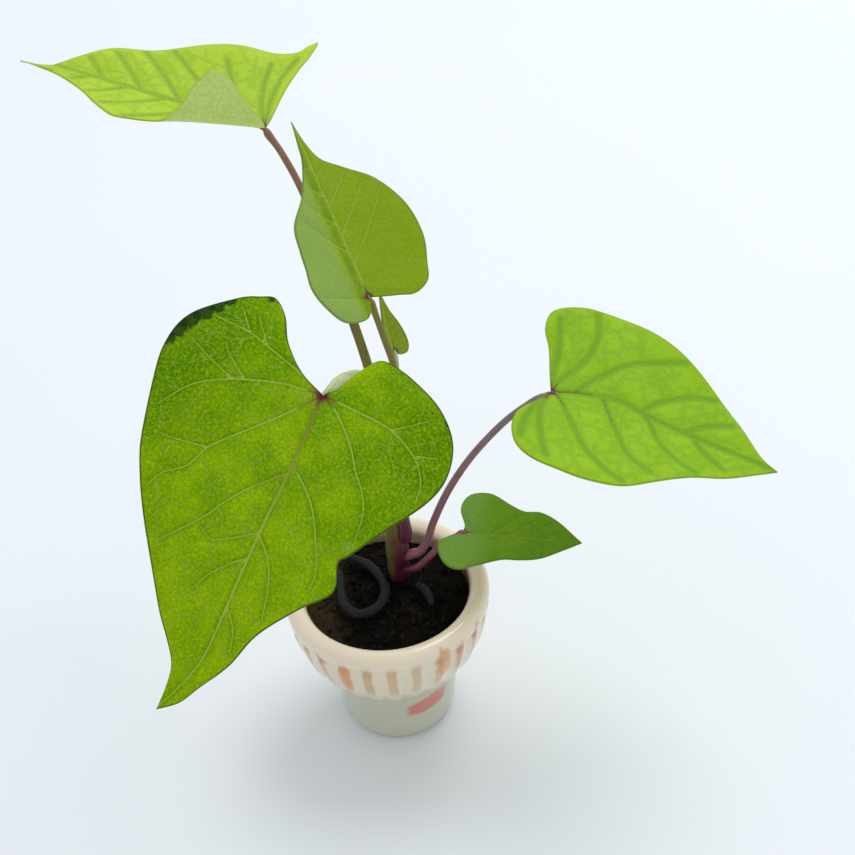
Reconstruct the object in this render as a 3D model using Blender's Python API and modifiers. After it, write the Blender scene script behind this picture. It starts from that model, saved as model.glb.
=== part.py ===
"""A sweet potato vine growing in its small painted pot.

Metres, +Z up. The origin is the centre of the pot's flat underside, and the
largest leaf hangs towards -Y. Places and sizes below are in millimetres, and
MM turns them into metres where a shape is made.
"""
import math

import bmesh
import bpy
from mathutils import Vector

MM = 0.001
GAP = 0.3           # clear space between neighbouring pieces
MERGE = 0.00001     # metres, for points that lie on each other

# Pot
POT_HEIGHT = 43.3
LIP_RADIUS = 24.9
MOUTH_RADIUS = 20.0
BAND_TOP = 38.4
BAND_FOOT = 21.2
BAND_FOOT_RADIUS = 17.7
FOOT_RADIUS = 13.5
POT_FLOOR = 4.0
# The inside wall above the floor: (radius, height) points.
POT_INSIDE = [(11.7, 5.5), (12.5, 12.0), (13.4, 19.0), (15.9, 24.0),
              (18.6, 29.0), (19.8, 34.0), (MOUTH_RADIUS, 41.0)]
RIB_COUNT = 26      # one of them faces -Y
RIB_STEPS = 4       # turned steps in one rib
RIB_HEIGHT = 0.7

# Soil
SOIL_EDGE = 38.0
SOIL_CENTRE = 39.4
SOIL_STEPS = 36
SOIL_LUMP = 0.35

# Vine and roots
CROWN_HOLE_RADIUS = 3.2
CROWN_HOLE_FLOOR = 29.0
CROWN_CENTRE = (3.2, 6.2)
TUBE_SIDES = 2      # bevel resolution: eight sides

# Blades
BLADE_THICKNESS = 0.7
BLADE_CENTRE = 0.22  # middle of the fan of faces, as a share of the length
MIDRIB_SOFTNESS = 3.0
WAVE_START = 8.0    # the margin's waves fade towards the midrib from here

# Each blade has its junction with the petiole, its tip, its roll about the
# midrib, the angle at which each half is folded up, the height and number of
# the waves of its margin, and its outline: points (forward along the midrib,
# sideways) from the sinus round each lobe to the tip.
BLADES = {
    "blade_front": {
        "junction": (-5.5, -32.6, 128.6), "tip": (-39.8, -72.4, 92.1),
        "roll": -24.0, "fold": 3.0, "arch": 0.03, "wave": 0.6, "waves": 7,
        "margin": 26, "rings": 6,
        "left": [(0, 0), (-2, -5.5), (-6, -10.7), (-10.5, -14), (-12.3, -17),
                 (-11.3, -19.5), (-9, -23), (-2, -29), (5, -30.3),
                 (12.5, -28.8), (21.5, -25.8), (27, -23), (36, -17),
                 (47, -8.5), (52, -3.8), (55.5, -1), (59.5, 0), (64, 0.35)],
        "right": [(0, 0), (-2.5, 2), (-7, 3.8), (-10.5, 6), (-11, 9),
                  (-10, 14), (-7.5, 20.5), (-3, 25.5), (3, 27.5), (9, 26.5),
                  (17.5, 22), (24, 18.5), (26, 17.3), (31, 19), (36.5, 15),
                  (44, 10.5), (51, 8.5), (57, 5.5), (61, 3.5), (64, 0.35)]},
    "blade_right": {
        "junction": (41.4, 6.7, 93.0), "tip": (89.6, -9.8, 78.0),
        "roll": 6.0, "fold": 9.0, "arch": 0.0, "wave": 0.5, "waves": 6,
        "margin": 20, "rings": 6,
        "left": [(0, 0), (-2.5, -4.5), (-6, -11.5), (-4.5, -18.5),
                 (0, -22.5), (7, -24), (12.5, -24), (20, -21.5),
                 (27, -16.5), (34, -12), (40.5, -8.5), (47, -4), (53, 0)],
        "right": [(0, 0), (-1, 3), (-3.5, 11), (-6, 16), (-6, 20.5),
                  (-3, 23.5), (2.5, 26), (9.5, 26.5), (17, 25.5),
                  (25, 22.5), (33, 17.5), (41.5, 9.5), (48.5, 2.5), (53, 0)]},
    "blade_middle": {
        "junction": (3.1, 11.7, 119.2), "tip": (-10.3, 36.7, 149.0),
        "roll": 8.0, "fold": 20.0, "arch": 0.0, "wave": 0.4, "waves": 5,
        "margin": 18, "rings": 5,
        "left": [(0, 0), (-2, -6), (-3, -9.5), (-1.5, -13), (2, -14.5),
                 (8, -16), (16, -15), (23.5, -11.5), (28, -6.5),
                 (31.5, -2.5), (36, -0.8), (41, 0)],
        "right": [(0, 0), (-3, 1), (-4.5, 3.5), (-3.5, 9), (0.5, 12.5),
                  (5, 14), (9.5, 13), (13.5, 12.3), (19, 11), (25, 5.5),
                  (31.5, 1.8), (36, 0.8), (41, 0)]},
    "blade_top": {
        "junction": (-17.0, 45.2, 143.6), "tip": (-63.6, 57.0, 157.6),
        "roll": -6.0, "fold": 13.0, "arch": 0.0, "wave": 0.5, "waves": 5,
        "margin": 20, "rings": 7,
        "left": [(0, 0), (-0.5, -3), (-1, -12), (-2, -19.5), (-3, -24),
                 (-3.5, -29), (-0.5, -24.5), (4.5, -21.5), (12.5, -20.5),
                 (20, -18), (30, -13), (38.5, -10), (45, -4.2), (50, 0.9),
                 (55.5, 2.1)],
        "right": [(0, 0), (-0.3, 2.2), (0.4, 6.6), (1.6, 12.5), (2.7, 15.5),
                  (4.7, 17.6), (6.8, 17.4), (10.2, 15.8), (13.9, 13.3),
                  (17.2, 11.9), (20.7, 11.2), (25, 12.6), (29.5, 14.2),
                  (34.6, 11.7), (40.9, 6), (46.2, 3), (50.7, 2.1),
                  (55.5, 2.1)],
        "curl": {"from": (0.6, -0.9), "towards": (19.7, 8.6), "radius": 2.0,
                 "angle": 100.0}},
    "blade_small": {
        "junction": (19.5, 3.5, 54.9), "tip": (47.4, -0.5, 51.8),
        "roll": 0.0, "fold": 8.0, "arch": 0.0, "wave": 0.3, "waves": 4,
        "margin": 16, "rings": 5,
        "left": [(0, 0), (-2, -1.5), (-5.5, -4.5), (-4.5, -10.5),
                 (-1, -13.5), (4, -11.5), (9.5, -9), (14, -8.5),
                 (18.5, -7), (23.5, -3.5), (28.5, 0)],
        "right": [(0, 0), (0.3, 2.5), (-1, 7.5), (1, 11.5), (6, 12.3),
                  (11, 9.8), (14.5, 8.3), (18.5, 8.3), (23, 5.5),
                  (28.5, 0)]},
    "blade_young": {
        "junction": (7.3, 14.0, 102.2), "tip": (5.2, 18.6, 115.6),
        "roll": 25.0, "fold": 50.0, "arch": 0.0, "wave": 0.0, "waves": 1,
        "margin": 9, "rings": 4,
        "left": [(0, 0), (-1, -1.4), (-0.6, -2.9), (2, -3.3), (6, -2.6),
                 (10, -1.2), (14.3, 0)],
        "right": [(0, 0), (-1, 1.4), (-0.6, 2.9), (2, 3.3), (6, 2.6),
                  (10, 1.2), (14.3, 0)]},
}

# Each stem has points on its centre line, and its radius at each end.
STEMS = {
    "petiole_front": ([(5.9, 2.4, 56.0), (6.0, -1.0, 68.0), (6.1, -5.0, 81.0),
                       (5.9, -10.5, 96.0), (5.2, -16.0, 110.0),
                       (3.6, -20.3, 120.4), (0.9, -24.4, 126.4),
                       (-2.0, -28.0, 128.3), (-4.4, -31.2, 128.6)], 1.15, 0.85),
    "petiole_right": ([(6.9, 3.9, 48.6), (9.0, 3.6, 49.6), (11.0, 4.6, 52.4),
                       (12.8, 6.4, 56.6), (17.0, 8.6, 64.4),
                       (23.0, 10.1, 73.0), (30.5, 9.8, 82.4),
                       (36.8, 8.3, 89.0), (40.2, 7.1, 91.6)], 1.0, 0.75),
    "petiole_small": ([(6.2, 1.9, 45.4), (8.6, 0.9, 47.6), (12.0, 0.9, 51.4),
                       (15.2, 2.0, 53.8), (17.6, 2.8, 54.2)], 0.9, 0.75),
    "petiole_middle": ([(5.9, 7.9, 80.6), (7.0, 8.3, 86.0), (7.3, 8.9, 93.0),
                        (6.9, 9.5, 102.0), (5.4, 10.0, 109.5),
                        (3.6, 11.2, 117.4)], 0.9, 0.7),
    "petiole_young": ([(4.9, 11.0, 86.6), (6.3, 12.7, 91.5),
                       (7.3, 13.8, 97.0), (7.4, 13.9, 100.8)], 0.7, 0.6),
    "petiole_top": ([(-4.2, 24.4, 116.9), (-6.2, 29.4, 121.8),
                     (-10.1, 37.6, 131.4), (-13.7, 42.4, 138.2),
                     (-16.3, 44.7, 142.0)], 0.9, 0.75),
}
STEM_POINTS = 14

# The vine's own stem: points on its centre line, each with its radius.
VINE = [(3.2, 6.2, 30.0, 2.7), (3.2, 6.2, 38.0, 2.75), (3.3, 5.8, 46.0, 2.6),
        (3.4, 5.6, 54.0, 2.2), (3.5, 6.0, 61.0, 1.5), (3.6, 7.4, 72.0, 1.25),
        (3.4, 9.2, 83.5, 1.3), (2.2, 10.9, 93.5, 1.1), (0.8, 12.8, 102.0, 1.1),
        (-1.2, 16.8, 109.4, 1.05), (-3.7, 23.0, 115.6, 1.0)]

# Roots that lie on the soil: points on the centre line, each with its radius.
ROOT_LOOP = [(-11.2, 13.4, 41.3, 0.8), (-8.7, 11.6, 41.5, 1.0),
             (-4.6, 8.6, 41.6, 1.1), (-1.4, 3.6, 41.5, 1.1),
             (-0.4, -1.2, 41.4, 1.15), (-2.5, -5.8, 41.3, 1.15),
             (-6.8, -7.6, 41.3, 1.15), (-10.2, -4.6, 41.3, 1.15),
             (-11.3, 0.7, 41.2, 1.1), (-11.6, 6.2, 41.2, 1.0),
             (-12.6, 9.4, 41.2, 0.8)]
ROOT_STUB = [(7.3, 0.6, 41.0, 0.8), (8.8, -1.0, 41.6, 1.0),
             (10.0, -3.6, 41.5, 1.0), (10.6, -6.2, 40.9, 0.8)]

COLOURS = {
    "glazed_pot": ((0.80, 0.74, 0.62), 0.25),
    "soil": ((0.02, 0.014, 0.01), 0.95),
    "root": ((0.09, 0.085, 0.08), 0.7),
    "stem_purple": ((0.16, 0.03, 0.07), 0.45),
    "stem_green": ((0.27, 0.31, 0.10), 0.45),
    "leaf": ((0.22, 0.42, 0.02), 0.5),
    "leaf_young": ((0.40, 0.56, 0.06), 0.5),
}


def clear_scene():
    for item in list(bpy.data.objects):
        bpy.data.objects.remove(item, do_unlink=True)


def make_collection(name):
    made = bpy.data.collections.new(name)
    bpy.context.scene.collection.children.link(made)
    return made


def finish(name):
    """The material of one finish, made the first time it is asked for."""
    if name in bpy.data.materials:
        return bpy.data.materials[name]
    colour, roughness = COLOURS[name]
    made = bpy.data.materials.new(name)
    made.use_nodes = True
    shader = made.node_tree.nodes["Principled BSDF"]
    shader.inputs["Base Color"].default_value = (*colour, 1.0)
    shader.inputs["Roughness"].default_value = roughness
    shader.inputs["Metallic"].default_value = 0.0
    return made


def add_object(name, data, collection, material):
    data.materials.clear()
    data.materials.append(finish(material))
    made = bpy.data.objects.new(name, data)
    collection.objects.link(made)
    return made


def curve_between(points, count):
    """Evenly spaced points on a smooth curve through the given ones."""
    given = [Vector(point) for point in points]
    given = [2 * given[0] - given[1]] + given + [2 * given[-1] - given[-2]]
    fine = []
    for a, b, c, d in zip(given, given[1:], given[2:], given[3:]):
        for step in range(12):
            t = step / 12
            fine.append(0.5 * (2 * b + (c - a) * t
                               + (2 * a - 5 * b + 4 * c - d) * t * t
                               + (3 * b - a - 3 * c + d) * t ** 3))
    fine.append(given[-2])
    travelled = [0.0]
    for a, b in zip(fine, fine[1:]):
        travelled.append(travelled[-1] + (b - a).length)
    spaced = []
    segment = 0
    for index in range(count):
        goal = travelled[-1] * index / (count - 1)
        while segment < len(fine) - 2 and travelled[segment + 1] < goal:
            segment += 1
        share = (goal - travelled[segment]) / (travelled[segment + 1] - travelled[segment])
        spaced.append(fine[segment].lerp(fine[segment + 1], share))
    return spaced


def add_tube(name, points, collection, material):
    """A tapered stem or root from (x, y, z, radius) points."""
    curve = bpy.data.curves.new(name, "CURVE")
    curve.dimensions = "3D"
    curve.bevel_depth = MM
    curve.bevel_resolution = TUBE_SIDES
    curve.use_fill_caps = True
    spline = curve.splines.new("POLY")
    spline.points.add(len(points) - 1)
    for target, (x, y, z, radius) in zip(spline.points, points):
        target.co = (x * MM, y * MM, z * MM, 1.0)
        target.radius = radius
    return add_object(name, curve, collection, material)


def add_turned(name, profile, steps, collection, material):
    """A mesh turned about Z from (radius, height) points, top to bottom."""
    mesh = bpy.data.meshes.new(name)
    shape = bmesh.new()
    corners = [shape.verts.new((r * MM, 0.0, z * MM)) for r, z in profile]
    for a, b in zip(corners, corners[1:]):
        shape.edges.new((a, b))
    shape.to_mesh(mesh)
    shape.free()
    turned = add_object(name, mesh, collection, material)
    screw = turned.modifiers.new("turned", "SCREW")
    screw.steps = steps
    screw.render_steps = steps
    screw.use_merge_vertices = True
    screw.merge_threshold = MERGE
    bake_modifiers(turned)
    return turned


def bake_modifiers(target):
    """Turn an object's modifiers into its mesh."""
    graph = bpy.context.evaluated_depsgraph_get()
    mesh = bpy.data.meshes.new_from_object(target.evaluated_get(graph))
    target.modifiers.clear()
    target.data = mesh


def smooth_faces(target, angle=40.0):
    target.data.shade_smooth()
    target.data.set_sharp_from_angle(angle=math.radians(angle))


def pot_wall(height):
    """Inner radius of the pot at a height above its floor's fillet."""
    for (low_r, low), (top_r, top) in zip(POT_INSIDE, POT_INSIDE[1:]):
        if height <= top:
            return low_r + (top_r - low_r) * (height - low) / (top - low)
    return MOUTH_RADIUS


def make_pot(collection):
    inner = [(0, POT_FLOOR), (10.5, POT_FLOOR)] + POT_INSIDE
    lip = [(20.8, 42.7), (22.3, POT_HEIGHT), (23.9, 42.8), (LIP_RADIUS, 41.2),
           (24.8, 39.4)]
    band = [(24.1, BAND_TOP), (23.8, 35.5), (22.8, 31.0), (20.9, 26.0),
            (BAND_FOOT_RADIUS, BAND_FOOT)]
    foot = [(16.2, 20.3), (15.9, 18.5), (15.1, 9.0), (14.5, 3.0),
            (FOOT_RADIUS, 0.8), (FOOT_RADIUS - 1.1, 0.0), (0, 0)]
    profile = inner + lip + band + foot
    pot = add_turned("pot", profile, RIB_COUNT * RIB_STEPS, collection, "glazed_pot")
    for vertex in pot.data.vertices:
        raise_rib(vertex)
    smooth_faces(pot)


def raise_rib(vertex):
    """Push a point of the band out where one of its upright ribs stands."""
    height = vertex.co.z / MM
    radius = vertex.co.xy.length / MM
    on_band = BAND_FOOT - 0.1 < height < BAND_TOP - 1.0
    if on_band and radius > pot_wall(height) + 1.0:
        turn = math.atan2(vertex.co.y, vertex.co.x)
        swell = 0.5 - 0.5 * math.cos(RIB_COUNT * turn)
        vertex.co.xy *= (radius + RIB_HEIGHT * swell) / radius


def soil_lump(x, y):
    """Height of the soil's lumps at a place, in millimetres."""
    return SOIL_LUMP * (math.sin(0.9 * x + 0.4) * math.sin(0.8 * y + 1.1)
                        + 0.6 * math.sin(0.55 * x - 0.7 * y))


def make_soil(collection):
    reach = pot_wall(SOIL_EDGE) - GAP
    rise = SOIL_CENTRE - SOIL_EDGE
    radii = [0.0, 3.5, 7.0, 10.5, 13.5, 16.5, reach]
    top = [(r, SOIL_CENTRE - rise * (r / reach) ** 2) for r in radii]
    side = [(r - GAP, z) for r, z in POT_INSIDE[-2::-1]]
    profile = top + side + [(10.3, POT_FLOOR + GAP), (0, POT_FLOOR + GAP)]
    soil = add_turned("soil", profile, SOIL_STEPS, collection, "soil")
    for vertex in soil.data.vertices:
        x, y, z = vertex.co / MM
        if z > SOIL_EDGE + 0.05:
            vertex.co.z += soil_lump(x, y) * MM
    cut_hole(soil)
    smooth_faces(soil)


def cut_hole(soil):
    """Cut the plain hole that the vine's foot stands in."""
    cutters = make_collection("cutters")
    depth = SOIL_CENTRE + 3.0 - CROWN_HOLE_FLOOR
    bpy.ops.mesh.primitive_cylinder_add(
        vertices=20, radius=CROWN_HOLE_RADIUS * MM, depth=depth * MM,
        location=(CROWN_CENTRE[0] * MM, CROWN_CENTRE[1] * MM,
                  (CROWN_HOLE_FLOOR + depth / 2) * MM))
    cutter = bpy.context.object
    cutter.name = "crown_hole"
    for holder in list(cutter.users_collection):
        holder.objects.unlink(cutter)
    cutters.objects.link(cutter)
    cutter.hide_render = True
    cutter.display_type = "WIRE"
    hole = soil.modifiers.new("crown hole", "BOOLEAN")
    hole.operation = "DIFFERENCE"
    hole.object = cutter


class BladeShape:
    """Where the points of one leaf blade lie in space."""

    def __init__(self, facts):
        self.facts = facts
        self.junction = Vector(facts["junction"])
        along = Vector(facts["tip"]) - self.junction
        self.length = along.length
        self.along = along.normalized()
        level = Vector((0, 0, 1)).cross(self.along).normalized()
        up = self.along.cross(level)
        roll = math.radians(facts["roll"])
        self.side = math.cos(roll) * level + math.sin(roll) * up
        self.up = self.along.cross(self.side)
        self.reach = facts["left"][-1][0]

    def outline(self):
        """The margin from the sinus round the left lobe, the tip and back."""
        count = self.facts["margin"]
        left = curve_between([(*p, 0) for p in self.facts["left"]], count)
        right = curve_between([(*p, 0) for p in self.facts["right"]], count)
        return left + right[-2::-1]

    def height(self, u, v):
        """How far the sheet stands above the plane of the blade."""
        slope = math.tan(math.radians(self.facts["fold"]))
        fold = slope * (math.hypot(v, MIDRIB_SOFTNESS) - MIDRIB_SOFTNESS)
        share = u / self.reach
        return fold + self.facts["arch"] * 4 * share * (1 - share) * self.reach

    def place(self, u, v, turn, share):
        """The point in space of a place on the flat blade."""
        height = self.facts["wave"] * share ** 3 * min(1.0, abs(v) / WAVE_START)
        lift = height * math.sin(self.facts["waves"] * math.tau * turn)
        if "curl" in self.facts:
            u, v, curled = self.curl(u, v)
            lift += curled
        lift += self.height(u, v)
        return self.junction + u * self.along + v * self.side + lift * self.up

    def curl(self, u, v):
        """Roll up what lies beyond the line of the curl."""
        curl = self.facts["curl"]
        start = Vector(curl["from"])
        line = (Vector(curl["towards"]) - start).normalized()
        across = Vector((-line.y, line.x))
        place = Vector((u, v)) - start
        beyond = place.dot(across)
        if beyond <= 0:
            return u, v, 0.0
        radius = curl["radius"]
        angle = min(beyond / radius, math.radians(curl["angle"]))
        rest = beyond - radius * angle
        reach = radius * math.sin(angle) + rest * math.cos(angle)
        rise = radius * (1 - math.cos(angle)) + rest * math.sin(angle)
        place += (reach - beyond) * across + start
        return place.x, place.y, rise


def make_blade(name, facts, collection):
    """A leaf blade: a fan of faces out to its outline, thickened."""
    blade = BladeShape(facts)
    margin = blade.outline()
    centre = Vector((BLADE_CENTRE * blade.reach, 0, 0))
    columns, rows = len(margin) - 1, facts["rings"]
    shape = bmesh.new()
    bmesh.ops.create_grid(shape, x_segments=columns, y_segments=rows, size=0.5)
    for vertex in shape.verts:
        turn = vertex.co.x + 0.5
        share = min(1.0, max(0.0, vertex.co.y + 0.5)) ** 0.85
        edge = margin[round(turn * columns)]
        flat = centre.lerp(edge, share)
        vertex.co = blade.place(flat.x, flat.y, turn, share) * MM
    bmesh.ops.remove_doubles(shape, verts=shape.verts, dist=MERGE)
    bmesh.ops.triangulate(shape, faces=shape.faces, quad_method="SHORT_EDGE")
    mesh = bpy.data.meshes.new(name)
    shape.to_mesh(mesh)
    shape.free()
    young = name not in ("blade_front", "blade_small")
    made = add_object(name, mesh, collection, "leaf_young" if young else "leaf")
    wall = made.modifiers.new("thickness", "SOLIDIFY")
    wall.thickness = BLADE_THICKNESS * MM
    wall.offset = 0.0
    made.data.shade_smooth()


def make_stem(name, points, start, end, collection):
    """A petiole whose radius changes evenly from start to end."""
    centres = curve_between(points, STEM_POINTS)
    last = len(centres) - 1
    tube = [(*centre, start + (end - start) * index / last)
            for index, centre in enumerate(centres)]
    green = name == "petiole_front"
    add_tube(name, tube, collection, "stem_green" if green else "stem_purple")


def make_rooted(name, points, count, collection, material):
    """A stem or root through (x, y, z, radius) points."""
    centres = curve_between([p[:3] for p in points], count)
    given = curve_between([(index, p[3], 0) for index, p in enumerate(points)], count)
    tube = [(*centre, size.y) for centre, size in zip(centres, given)]
    add_tube(name, tube, collection, material)


def main():
    clear_scene()
    plant = make_collection("sweet_potato_vine")
    make_pot(plant)
    make_soil(plant)
    make_rooted("vine_stem", VINE, 26, plant, "stem_purple")
    make_rooted("root_loop", ROOT_LOOP, 22, plant, "root")
    make_rooted("root_stub", ROOT_STUB, 8, plant, "root")
    for name, (points, start, end) in STEMS.items():
        make_stem(name, points, start, end, plant)
    for name, facts in BLADES.items():
        make_blade(name, facts, plant)


main()
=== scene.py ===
"""The looks of a sweet potato vine in its small painted pot.

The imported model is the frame: metres, +Z up, the origin under the middle of
the pot. Places and sizes below are in millimetres, and MM turns them into
metres where a shape is made. A leaf is first laid out flat: u runs along its
midrib from the petiole to the tip, and v runs sideways.
"""

import math
import random

import bpy
import numpy as np
from bpy.props import FloatProperty, FloatVectorProperty, IntProperty, PointerProperty
from mathutils import Matrix, Vector, noise


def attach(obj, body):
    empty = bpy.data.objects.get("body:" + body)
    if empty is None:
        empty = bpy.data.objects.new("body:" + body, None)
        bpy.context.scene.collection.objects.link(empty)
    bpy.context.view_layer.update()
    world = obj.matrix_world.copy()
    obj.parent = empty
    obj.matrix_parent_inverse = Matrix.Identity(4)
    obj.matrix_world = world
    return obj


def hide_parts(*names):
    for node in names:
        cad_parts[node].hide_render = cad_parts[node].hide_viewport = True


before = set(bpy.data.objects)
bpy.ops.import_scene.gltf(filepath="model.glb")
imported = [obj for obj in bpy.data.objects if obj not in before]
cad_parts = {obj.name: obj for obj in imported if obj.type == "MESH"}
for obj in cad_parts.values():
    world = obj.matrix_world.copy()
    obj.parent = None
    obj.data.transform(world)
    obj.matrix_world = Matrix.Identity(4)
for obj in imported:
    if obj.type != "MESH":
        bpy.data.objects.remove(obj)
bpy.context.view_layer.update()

bl_info = {
    "name": "Potted sweet potato vine",
    "version": (1, 0, 0),
    "blender": (4, 5, 0),
    "location": "3D View > Sidebar > Vine",
    "description": "Dresses the solids of a small potted sweet potato vine",
    "category": "Object",
}

MM = 0.001
MERGE = 0.00001         # metres, for points that lie on each other

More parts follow.
